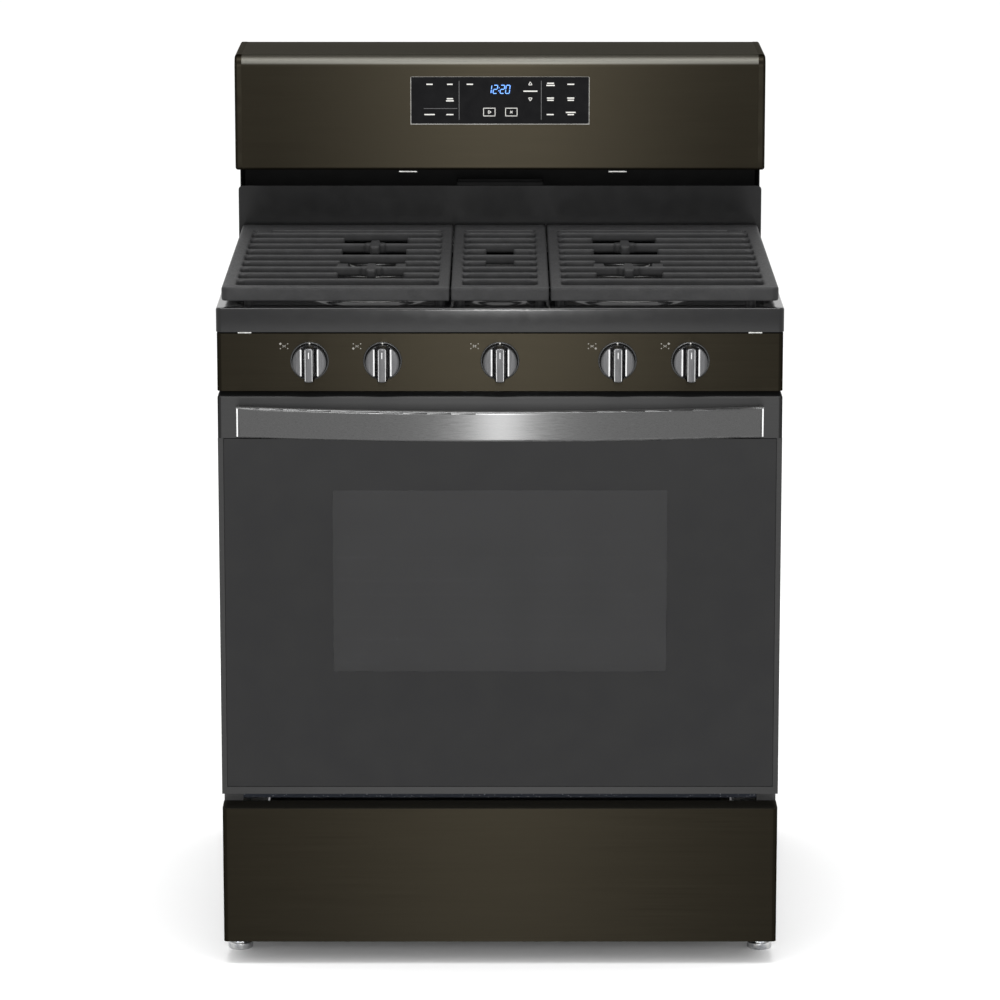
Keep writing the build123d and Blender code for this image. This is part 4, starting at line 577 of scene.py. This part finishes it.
def tiles(x, z, wide, tall, face, thick, turn=0.0, lean=0.0):
    """Flat blocks that stand out of a front face.

    A corner's offsets are turned: across is across times cosine less up times sine, and up is across
    times sine plus up times cosine. Then x gains lean times up."""
    values = [np.atleast_1d(np.array(value, float)) for value in (x, z, wide, tall, turn)]
    x, z, wide, tall, turn = np.broadcast_arrays(*values)
    corner = np.array([(-0.5, -0.5), (0.5, -0.5), (0.5, 0.5), (-0.5, 0.5)])
    u, v = wide[:, None] * corner[:, 0], tall[:, None] * corner[:, 1]
    turned_u = u * np.cos(turn)[:, None] - v * np.sin(turn)[:, None]
    turned_v = u * np.sin(turn)[:, None] + v * np.cos(turn)[:, None]
    at_z = z[:, None] + turned_v
    at_x = x[:, None] + turned_u + lean * turned_v
    front = np.stack([at_x, np.full_like(at_x, face - thick), at_z], -1)
    back = np.stack([at_x, np.full_like(at_x, face + thick / 4), at_z], -1)
    points = np.concatenate([front, back], 1).reshape(-1, 3)
    block = np.array([(0, 1, 2, 3), (7, 6, 5, 4), (4, 5, 1, 0), (5, 6, 2, 1), (6, 7, 3, 2), (7, 4, 0, 3)])
    return points, (np.arange(len(x))[:, None, None] * 8 + block).reshape(-1, 4), []


clip_zinc = new_finish("zinc_clip", (0.34, 0.34, 0.33), 0.3, Metallic=1.0)
tint(clip_zinc, grain(clip_zinc, 0.003), (0.26, 0.26, 0.25), (0.42, 0.42, 0.41))
clips = tiles([-clip_x, clip_x], (clip_low + clip_high) / 2, clip_wide, clip_high - clip_low,
              panel_low.y + clip_back, clip_thick)
piece("panel_clips", [clips], clip_zinc, "range_body", "zinc_steel")


# Knob collars and printed marks. A black dished collar is pressed into the panel behind each knob; the
# white dot, the bar at the off position and the burner diagrams are screen-printed ink.

collar_plastic = new_finish("satin_black_collar", (0.008, 0.008, 0.008), 0.3)
tint(collar_plastic, grain(collar_plastic, 0.005), (0.006, 0.006, 0.006), (0.011, 0.011, 0.011))
gloss(collar_plastic, grain(collar_plastic, 0.002), 0.24, 0.38)
knob_boxes = [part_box(f"knob_{number}") for number in range(1, 6)]
knob_places = [(low + high) / 2 for low, high in knob_boxes]
collars_low, collars_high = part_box("knob_bezels")
collar_radius = (collars_high.z - collars_low.z) / 2


def turned_y(centre_x, centre_z, radii, ys, around=72):
    """Surface turned about a line along Y: at each y, the radius times the cosine and the sine of the angle."""
    angle = np.arange(around) * 2 * np.pi / around
    circle = np.stack([np.cos(angle), np.zeros(around), np.sin(angle)], -1)
    rings = [np.array([centre_x, y, centre_z]) + radius * circle for radius, y in zip(radii, ys)]
    return skinned(np.stack(rings))


collar_radii = np.array([1.0, 1.0, 0.985, 0.95, 0.9, 0.86, 0.4]) * collar_radius
collar_ys = collars_high.y - np.array([0, 12, 18, 20, 17, 8, 6]) / 10000
piece("knob_collars", [turned_y(place.x, place.z, collar_radii, collar_ys) for place in knob_places],
      collar_plastic, "range_body", "black_plastic", "knob_bezels", crease=50.0)

white_ink = new_finish("white_ink", (0.62, 0.61, 0.57), 0.6)
tint(white_ink, grain(white_ink, 0.0006), (0.52, 0.51, 0.48), (0.68, 0.67, 0.64))
pale_ink = new_finish("pale_ink", (0.22, 0.21, 0.19), 0.6)
tint(pale_ink, grain(pale_ink, 0.0006), (0.18, 0.17, 0.15), (0.26, 0.25, 0.23))
ink = 0.00012
dot_radius = 0.0011
off_dx, off_dz, off_wide, off_tall = -0.003, 0.0205, 0.0055, 0.0009
diagram_dx, diagram_dz, diagram_wide, diagram_tall = -0.034, 0.020, 0.0098, 0.0064
lit_size, plain_size = 0.0026, 0.0014
arm_long, lit_arm, plain_arm = 0.0052, 0.0012, 0.0007
slant = math.atan2(diagram_tall, diagram_wide)
spot_x = np.array([-1, -1, 1, 1]) * diagram_wide / 2
spot_z = np.array([-1, 1, -1, 1]) * diagram_tall / 2
dots, diagrams = [], []
lit = [(-1, 1), (-1, -1), (0, 0), (1, -1), (1, 1)]
for place, (lit_x, lit_z) in zip(knob_places, lit):
    dots.append(turned_y(place.x, place.z + 0.92 * collar_radius, (dot_radius, dot_radius),
                         (collars_low.y + 0.0004, collars_low.y - ink), 16))
    dots.append(tiles(place.x + off_dx, place.z + off_dz, off_wide, off_tall, collars_low.y + 0.0003, ink))
    across, up = place.x + diagram_dx, place.z + diagram_dz
    size = np.where((np.sign(spot_x) == lit_x) & (np.sign(spot_z) == lit_z), lit_size, plain_size)
    diagrams.append(tiles(across + spot_x, up + spot_z, size, size, panel_low.y, ink, np.pi / 4))
    arm = lit_arm if (lit_x, lit_z) == (0, 0) else plain_arm
    diagrams.append(tiles([across, across], [up, up], arm_long, arm, panel_low.y, ink, [slant, -slant]))
piece("knob_dots", dots, white_ink, "range_body", "black_plastic")
piece("burner_diagrams", diagrams, pale_ink, "range_body", "black_stainless")


# Knobs. Each is a die-cast disc with a grip rib across its face; bright strips painted along the rib's front
# edges and on the disc's shoulders beside the two grooves are painted highlights. The knob presses onto its
# valve's flat-sided stem.

def disc_of_lines(centre, radius, lines, depths, front, rear, rounding):
    """A disc drawn as upright chords, each at the depth that belongs to its line.

    A chord's half length is the square root of the radius squared less the line's distance squared. The
    edge is rounded by a quarter circle and runs straight back to a flat rear."""
    x = np.concatenate([-lines[:0:-1], lines])
    depth = np.concatenate([depths[:0:-1], depths])
    v = np.sin(np.linspace(-np.pi / 2, np.pi / 2, 45))
    z = v[None, :] * np.sqrt(radius ** 2 - x[:, None] ** 2)
    outward = np.hypot(x[:, None], z) / radius
    edge = np.clip((outward - 1 + rounding / radius) / (rounding / radius), 0, 1)
    y = front + depth[:, None] + rounding * (1 - np.sqrt(1 - edge ** 2))
    sheet = np.stack([centre.x + np.broadcast_to(x[:, None], z.shape), y, centre.z + z], -1)
    count, across = z.shape
    index = np.arange(count * across).reshape(count, across)
    top = np.stack([index[:-1, :-1], index[1:, :-1], index[1:, 1:], index[:-1, 1:]], -1).reshape(-1, 4)
    rim = np.concatenate([index[:, 0], index[-1, 1:], index[-2::-1, -1], index[0, -2:0:-1]])
    flat = sheet.reshape(-1, 3)
    back = flat[rim] * [1, 0, 1] + [0, rear, 0]
    behind = np.arange(len(rim)) + len(flat)
    wall = np.stack([np.roll(rim, -1), rim, behind, np.roll(behind, -1)], -1)
    return np.concatenate([flat, back]), np.concatenate([top, wall]), [behind[::-1]]


knob_metal = new_finish("satin_dark_chrome", (0.075, 0.075, 0.077), 0.28, Metallic=1.0)
knob_marks = grain(knob_metal, 0.0005, (1, 1, 40), 2.0)
tint(knob_metal, knob_marks, (0.065, 0.065, 0.067), (0.085, 0.085, 0.087))
gloss(knob_metal, knob_marks, 0.24, 0.34)
pointer_ink = new_finish("pointer_ink", (0.5, 0.5, 0.5), 0.4, Metallic=0.6)
tint(pointer_ink, grain(pointer_ink, 0.001), (0.42, 0.42, 0.42), (0.55, 0.55, 0.55))
# Bright strips painted on each knob's rib edges and groove shoulders: painted highlights.
painted_knob_highlight = new_finish("painted_knob_highlight_edge", (0.42, 0.42, 0.42), 0.2, Metallic=1.0)
tint(painted_knob_highlight, grain(painted_knob_highlight, 0.001, (1, 1, 12)), (0.36, 0.36, 0.36), (0.48, 0.48, 0.48))
knob_rounding = 0.0012
knob_lines = np.array([0, 2, 4, 4.8, 5.2, 5.5, 5.8, 6.1, 6.5, 6.9, 7.2, 7.6, 8.1, 8.7, 9.2, 9.6, 9.9, 10.2, 10.6,
                       11.1, 11.8, 14, 17, 20, 21.5, 22.3, 22.7, 22.97]) / 1000
section_lines = np.array([0, 4.8, 5.5, 6.1, 7.2, 7.8, 8.7, 9.6, 10.2, 11.1, 20, 23]) / 1000
section_depths = np.array([0, 0.2, 0.9, 3.0, 18.5, 22.3, 23.6, 23.0, 21.9, 21.2, 21.4, 22.0]) / 1000
knob_section = np.interp(knob_lines, section_lines, section_depths)
pointer_dz, pointer_wide, pointer_tall = 0.0135, 0.0010, 0.0085
shoulder_at, shoulder_depth, shoulder_wide, shoulder_tall = 0.0113, 0.0212, 0.0020, 0.0360
rib_at, rib_depth, rib_wide, rib_tall = 0.0046, 0.0002, 0.0007, 0.0420
for number, (place, (low, high)) in enumerate(zip(knob_places, knob_boxes), start=1):
    knob_radius = (high.x - low.x) / 2
    surface = disc_of_lines(place, knob_radius, knob_lines, knob_section, low.y, high.y, knob_rounding)
    body = f"burner_knob_{number}"
    piece(f"control_knob_{number}", [surface], knob_metal, body, "knob_metal", f"knob_{number}")
    pointer = tiles(place.x, place.z + pointer_dz, pointer_wide, pointer_tall, low.y + 0.0001, 0.00015)
    piece(f"knob_pointer_{number}", [pointer], pointer_ink, body, "knob_metal")
    shoulder_highlights = tiles([place.x - shoulder_at, place.x + shoulder_at], place.z, shoulder_wide, shoulder_tall,
                      low.y + shoulder_depth, 0.0004)
    rib_highlights = tiles([place.x - rib_at, place.x + rib_at], place.z, rib_wide, rib_tall, low.y + rib_depth, 0.00015)
    piece(f"knob_painted_highlights_{number}", [shoulder_highlights, rib_highlights], painted_knob_highlight, body, "knob_metal")


# Riser. A pressed steel splash panel in smooth black enamel stands behind the cooktop; the oven's hot
# air leaves through the gap between its top and the housing above.

smooth_enamel = new_finish("smooth_black_enamel", (0.004, 0.004, 0.0042), 0.2, IOR=1.26)
tint(smooth_enamel, grain(smooth_enamel, 0.06), (0.0038, 0.0038, 0.004), (0.0044, 0.0044, 0.0045))
gloss(smooth_enamel, grain(smooth_enamel, 0.02), 0.20, 0.22)
relief(smooth_enamel, grain(smooth_enamel, 0.02), 0.000001)
dress(smooth_enamel, "riser_panel")
riser_low, riser_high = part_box("riser_panel")


# Backguard. A folded skin of black stainless, open below, is closed at each end by a moulded cap and
# behind by a louvred cover; the circuit board stands behind the touch glass.

cap_moulding = new_finish("metallic_black_moulding", (0.012, 0.0105, 0.0075), 0.4, Metallic=1.0,
                          Specular_Tint=(0.25, 0.23, 0.18, 1))
tint(cap_moulding, grain(cap_moulding, 0.02), (0.0105, 0.009, 0.0065), (0.0135, 0.012, 0.0085))
relief(cap_moulding, grain(cap_moulding, 0.0008), 0.00002)
dress(cap_moulding, "backguard_end_caps")
circuit = new_finish("green_solder_mask", (0.02, 0.12, 0.05), 0.35)
copper = add(circuit, "TexVoronoi", Vector=spread(circuit, 0.006, (3, 1, 1)), Scale=1.0)
tint(circuit, copper.outputs["Distance"], (0.015, 0.09, 0.04), (0.03, 0.17, 0.08))
dress(circuit, "control_board")
shell_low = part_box("backguard_shell")[0]
tab_left, tab_right, tab_wide, tab_tall, tab_thick = -0.133, 0.170, 0.026, 0.0016, 0.003
tab_z = riser_high.z + 0.7 * (shell_low.z - riser_high.z)
piece("vent_tabs", [tiles([tab_left, tab_right], tab_z, tab_wide, tab_tall, riser_low.y - 0.004, tab_thick)],
      clip_zinc, "range_body", "zinc_steel")


# Touch display. One pane of black glass, framed by a thin grey lip that is widest below; its key
# legends are plain printed bars, and the clock's segments glow blue from behind.

display_glass = new_finish("black_touch_glass", (0.004, 0.004, 0.0045), 0.08, IOR=1.18)
tint(display_glass, grain(display_glass, 0.03), (0.0035, 0.0035, 0.004), (0.005, 0.005, 0.0055))
gloss(display_glass, grain(display_glass, 0.01), 0.05, 0.09)
dress(display_glass, "display_panel")
screen_low, screen_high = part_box("display_panel")
screen = (screen_low + screen_high) / 2
lip_wide, lip_thick = 0.0010, 0.0009
lip_metal = new_finish("grey_display_lip", (0.15, 0.148, 0.14), 0.4, Metallic=1.0)
tint(lip_metal, grain(lip_metal, 0.002, (20, 1, 1)), (0.12, 0.118, 0.11), (0.18, 0.178, 0.17))
edge_x = np.array([screen.x, screen_low.x - lip_wide / 2, screen_high.x + lip_wide / 2, screen.x])
edge_z = np.array([screen_low.z - lip_wide / 2, screen.z, screen.z, screen_high.z + lip_wide / 2])
screen_wide, screen_tall = screen_high.x - screen_low.x, screen_high.z - screen_low.z
edge_wide = np.array([screen_wide + 2 * lip_wide, lip_wide, lip_wide, screen_wide])
edge_tall = np.array([lip_wide * 1.4, screen_tall, screen_tall, lip_wide * 0.4])
piece("display_lip", [tiles(edge_x, edge_z, edge_wide, edge_tall, shell_low.y, lip_thick)], lip_metal,
      "range_body", "display_glass")


def legend(rows, pitch=0.0031):
    """Bars for key legends from the x, z and word widths of each, in metres from the screen's middle.

    Each further line is one pitch lower, and two lines start 1.5 mm higher."""
    return [(x, z + 0.0015 * (len(widths) - 1) - pitch * line, wide)
            for x, z, widths in rows for line, wide in enumerate(widths)]


left_keys = [(-0.1007, 0.0232, [0.009]), (-0.0717, 0.0232, [0.008]), (-0.0431, 0.0232, [0.009]),
             (-0.0717, 0.0010, [0.009, 0.011]), (-0.1007, -0.0203, [0.015]), (-0.0717, -0.0203, [0.010])]
right_keys = [(0.0435, 0.0133, [0.020]), (0.0722, 0.0232, [0.010, 0.012]), (0.1012, 0.0232, [0.010]),
              (0.0722, 0.0019, [0.010, 0.009]), (0.1012, 0.0019, [0.010, 0.009]), (0.0718, -0.0203, [0.010]),
              (0.1012, -0.0187, [0.014, 0.009])]
bars = np.array(legend(left_keys + right_keys))
bar_tall = 0.0017
face = screen_low.y
print_bars = tiles(screen.x + bars[:, 0], screen.z + bars[:, 1], bars[:, 2], bar_tall, face, ink)
key_x, key_z = np.array([-0.0153, 0.0162]), -0.0167
key_wide, key_tall, line = 0.0165, 0.0112, 0.0009
box_x = np.concatenate([key_x, key_x, key_x - key_wide / 2, key_x + key_wide / 2])
box_z = np.concatenate([np.full(2, key_tall / 2), np.full(2, -key_tall / 2), np.zeros(4)]) + key_z
box_wide = np.repeat([key_wide + line, line], 4)
box_tall = np.repeat([line, key_tall], 4)
key_boxes = tiles(screen.x + box_x, screen.z + box_z, box_wide, box_tall, face, ink)
cross = tiles(screen.x + key_x[[1, 1]], screen.z + key_z, 0.0048, line, face, ink, [np.pi / 4, -np.pi / 4])


def wedge(x, z, size, point):
    """Outline of a triangle, as three bars; point is the angle that it points along.

    Each bar's middle is the reach from the centre, a third of a turn from the next."""
    side = point + np.array([np.pi / 3, np.pi, -np.pi / 3])
    reach = size * 0.29
    return tiles(x + reach * np.cos(side), z + reach * np.sin(side), size, line, face, ink, side + np.pi / 2)


arrow_x, arrow_size = 0.0433, 0.0052
arrows = [wedge(screen.x + arrow_x, screen.z + 0.0238, arrow_size, np.pi / 2),
          wedge(screen.x + arrow_x, screen.z + 0.0022, arrow_size, -np.pi / 2),
          wedge(screen.x + key_x[0], screen.z + key_z, 0.0046, 0.0)]
piece("display_legends", [print_bars, key_boxes, cross, *arrows], white_ink, "range_body", "display_glass")
divider_x, divider_z = np.array([-0.0585, 0.0590, -0.0850]), np.array([0.0002, 0.0002, -0.0116])
dividers = tiles(screen.x + divider_x, screen.z + divider_z, [0.0007, 0.0007, 0.0480], [0.0560, 0.0560, 0.0006],
                 face, ink)
grey_ink = new_finish("grey_ink", (0.10, 0.10, 0.10), 0.6)
tint(grey_ink, grain(grey_ink, 0.0006), (0.08, 0.08, 0.08), (0.12, 0.12, 0.12))
piece("display_dividers", [dividers], grey_ink, "range_body", "display_glass")

clock_blue = new_finish("clock_blue", (0.02, 0.08, 0.4), 0.4, Emission_Color=(0.16, 0.42, 1.0, 1),
                        Emission_Strength=1.6)
tint(clock_blue, grain(clock_blue, 0.0008), (0.015, 0.06, 0.35), (0.03, 0.1, 0.5))
clock_dx, clock_dz = -0.0018, 0.0160
digit_tall, digit_wide, stroke = 0.0118, 0.0056, 0.0011
segment = {"a": (0, 1, 1), "b": (0.5, 0.5, 0), "c": (0.5, -0.5, 0), "d": (0, -1, 1), "e": (-0.5, -0.5, 0),
           "f": (-0.5, 0.5, 0), "g": (0, 0, 1)}
digits = {"0": "abcdef", "1": "bc", "2": "abged"}
lean = 0.12
clock = []
for at, digit in ((-0.0133, "1"), (-0.0048, "2"), (0.0052, "2"), (0.0129, "0")):
    for across, up, flat in (segment[name] for name in digits[digit]):
        dx, dz = across * digit_wide, up * digit_tall / 2
        wide, tall = (digit_wide - stroke, stroke) if flat else (stroke, digit_tall / 2 - stroke)
        clock.append((at + dx + lean * dz, dz, wide, tall))
clock += [(0.0002 + lean * dz, dz, stroke, stroke) for dz in (0.0022, -0.0022)]
clock = np.array(clock)
segments = tiles(screen.x + clock[:, 0] + clock_dx, screen.z + clock[:, 1] + clock_dz, clock[:, 2], clock[:, 3],
                 face, ink, 0.0, lean)
piece("clock_digits", [segments], clock_blue, "range_body", "display_glass")


# Oven door. A sheet of black glass is bonded over the door frame; a clear band in its black print
# leaves the window, behind which are two inner panes. A tall strip of steel trims the top.

door_black = new_finish("black_door_glass", (0.004, 0.004, 0.0045), 0.035, IOR=1.345)
tint(door_black, grain(door_black, 0.05), (0.0035, 0.0035, 0.004), (0.005, 0.005, 0.0052))
gloss(door_black, grain(door_black, 0.012), 0.02, 0.05)
window_glass = new_finish("tinted_window_glass", (0.1, 0.1, 0.103), 0.03, IOR=1.345, Transmission_Weight=0.92)
tint(window_glass, grain(window_glass, 0.05), (0.095, 0.096, 0.099), (0.11, 0.111, 0.114))
gloss(window_glass, grain(window_glass, 0.012), 0.02, 0.04)
inner_glass = new_finish("clear_inner_glass", (0.80, 0.82, 0.82), 0.04, IOR=1.5, Transmission_Weight=0.95)
tint(inner_glass, grain(inner_glass, 0.05), (0.76, 0.79, 0.79), (0.84, 0.86, 0.86))
gloss(inner_glass, grain(inner_glass, 0.01), 0.03, 0.06)
dress(inner_glass, "door_inner_glass")
pane_low, pane_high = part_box("door_outer_glass")
window_low, window_high = (-0.225, 0.414), (0.225, 0.665)


def plate(low, high, front, rear, corners, edge, hole=None, flat=0.0006):
    """A flat plate in a front face, its corners and front edges rounded, with one rounded hole.

    The front edge is a quarter circle: the inset is the edge times one less the cosine, and the depth is
    the edge times one less the sine. A flat border runs inside the edge and round the hole."""
    low, high = np.array(low), np.array(high)
    turn = np.linspace(0, np.pi / 2, 5)
    insets = edge * (1 - np.cos(turn))
    depths = front + edge * (1 - np.sin(turn))
    radii = np.broadcast_to(np.array(corners, float), 4)
    rings = [(outline(low, high, radii), rear), (outline(low, high, radii), depths[0])]
    rings += [(outline(low + inset, high - inset, np.maximum(radii - inset, 0.0002)), depth)
              for inset, depth in zip(insets[1:], depths[1:])]
    rings.append((outline(low + edge + flat, high - edge - flat, np.maximum(radii - edge, 0.0002)), front))
    if hole is not None:
        near_low, near_high, round_hole = hole
        near = outline(np.array(near_low) - flat, np.array(near_high) + flat, round_hole + flat)
        rings += [(near, front), (outline(*hole), front), (outline(*hole), rear)]
    stack = [np.column_stack([loop[:, 0], np.full(len(loop), depth), loop[:, 1]]) for loop, depth in rings]
    return skinned(np.stack(stack), hole is not None)


pane_corner, pane_edge, window_corner = 0.002, 0.0008, 0.004
glass_sheet = plate((pane_low.x, pane_low.z), (pane_high.x, pane_high.z), pane_low.y, pane_high.y, pane_corner,
                    pane_edge, (window_low, window_high, window_corner))
piece("door_black_glass", [glass_sheet], door_black, "oven_door", "black_glass", "door_outer_glass")
window_sheet = plate(window_low, window_high, pane_low.y, pane_high.y, window_corner, 0.0)
piece("door_window", [window_sheet], window_glass, "oven_door", "black_glass")


# Door handle. A flat-oval tube of stainless steel, polished along its length, rides on two brackets; a
# bright strip painted at each end is a painted highlight on a bracket's thin outer edge, and a dark strip beside
# it is painted shade in the gap. Each bracket is screwed through the trim into the door frame.

handle_steel = brushed("handle_steel", (0.078, 0.078, 0.078), (0.092, 0.092, 0.092), 0.28, 0.000003,
                       Anisotropic=0.94)
dress(handle_steel, "handle_bar")
bracket_and_gap_shade = new_finish("dark_bracket_and_gap_shade", (0.05, 0.05, 0.05), 0.3, Metallic=1.0)
tint(bracket_and_gap_shade, grain(bracket_and_gap_shade, 0.002), (0.04, 0.04, 0.04), (0.06, 0.06, 0.06))
dress(bracket_and_gap_shade, "handle_mounts")
bar_low, bar_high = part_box("handle_bar")
bar_bow = 0.032
end_tall = bar_high.z - bar_low.z - 0.003
end_face = bar_low.y + bar_bow - 0.0004
# Bright strips painted at the bar's ends: painted highlights on the brackets' thin outer edges.
painted_end_highlight = new_finish("painted_end_highlight", (0.62, 0.62, 0.62), 0.16, Metallic=1.0)
tint(painted_end_highlight, grain(painted_end_highlight, 0.001, (1, 1, 12)), (0.54, 0.54, 0.54), (0.68, 0.68, 0.68))
end_inset, end_wide, end_thick = 0.0017, 0.0018, 0.0008
end_highlights = tiles([bar_low.x + end_inset, bar_high.x - end_inset], (bar_low.z + bar_high.z) / 2, end_wide, end_tall,
                  end_face, end_thick)
piece("handle_end_highlights", [end_highlights], painted_end_highlight, "oven_door", "handle_steel")
# Dark strips painted in the gaps between the bar's ends and the brackets: painted shade, in the brackets' own
# black.
gap_inset, gap_up, gap_wide, gap_tall = 0.0040, 0.012, 0.0013, 0.021
end_gap_shade = tiles([bar_low.x + gap_inset, bar_high.x - gap_inset], bar_low.z + gap_up, gap_wide, gap_tall,
                 end_face - 0.0002, 0.0006)
piece("handle_end_gap_shade", [end_gap_shade], bracket_and_gap_shade, "oven_door", "handle_steel")


# Storage drawer. The front is one folded sheet of black stainless; the box behind it is pressed from
# thin steel in grey-black paint and runs on side rails.

drawer_grey = new_finish("grey_black_drawer_paint", (0.035, 0.035, 0.036), 0.5)
tint(drawer_grey, grain(drawer_grey, 0.03), (0.030, 0.030, 0.031), (0.042, 0.042, 0.042))
gloss(drawer_grey, grain(drawer_grey, 0.004), 0.42, 0.58)
relief(drawer_grey, grain(drawer_grey, 0.0015), 0.00005)
dress(drawer_grey, "drawer_box")


# Floor, lights and camera. A pale seamless floor under a white room; a tall soft strip light ahead
# gives brushed steel its bright middle, and a wide soft light overhead lights the tops.

def area(name, loc, target, across, tall, power):
    """A rectangular soft light at loc, facing target."""
    light = bpy.data.lights.new(name, "AREA")
    light.shape, light.size, light.size_y, light.energy = "RECTANGLE", across, tall, power
    made = bpy.data.objects.new(name, light)
    made.location = loc
    made.rotation_euler = (Vector(target) - Vector(loc)).to_track_quat("-Z", "Y").to_euler()
    bpy.context.scene.collection.objects.link(made)
    return made


floor = bpy.data.meshes.new("floor")
floor.from_pydata([(-30, -30, 0), (30, -30, 0), (30, 30, 0), (-30, 30, 0)], [], [(0, 1, 2, 3)])
floor_made = bpy.data.objects.new("floor", floor)
bpy.context.scene.collection.objects.link(floor_made)
floor_finish = new_finish("pale_floor", (0.86, 0.86, 0.86), 0.9)
tint(floor_finish, grain(floor_finish, 0.5), (0.855, 0.855, 0.855), (0.865, 0.865, 0.865))
floor.materials.append(floor_finish)

world = bpy.data.worlds.new("white_room")
world.use_nodes = True
world.node_tree.nodes["Background"].inputs["Color"].default_value = (1, 1, 1, 1)
world.node_tree.nodes["Background"].inputs["Strength"].default_value = 1.2
bpy.context.scene.world = world
area("front_strip", (0, -6.8, 1.95), (0, -0.3, 1.1), 0.28, 2.4, 200)
area("overhead", (0, -0.5, 3.4), (0, 0.1, 0.9), 2.4, 0.9, 70)

lens = bpy.data.cameras.new("camera")
lens.sensor_width, lens.lens, lens.shift_y, lens.clip_end = 36, 166.96, -0.06, 100
camera = bpy.data.objects.new("camera", lens)
camera.location = (0, -6.395, 1.989)
camera_dip = 11.64
camera.rotation_euler = (math.radians(90 - camera_dip), 0, 0)
bpy.context.scene.collection.objects.link(camera)
bpy.context.scene.camera = camera
bpy.context.scene.view_settings.view_transform = "Standard"
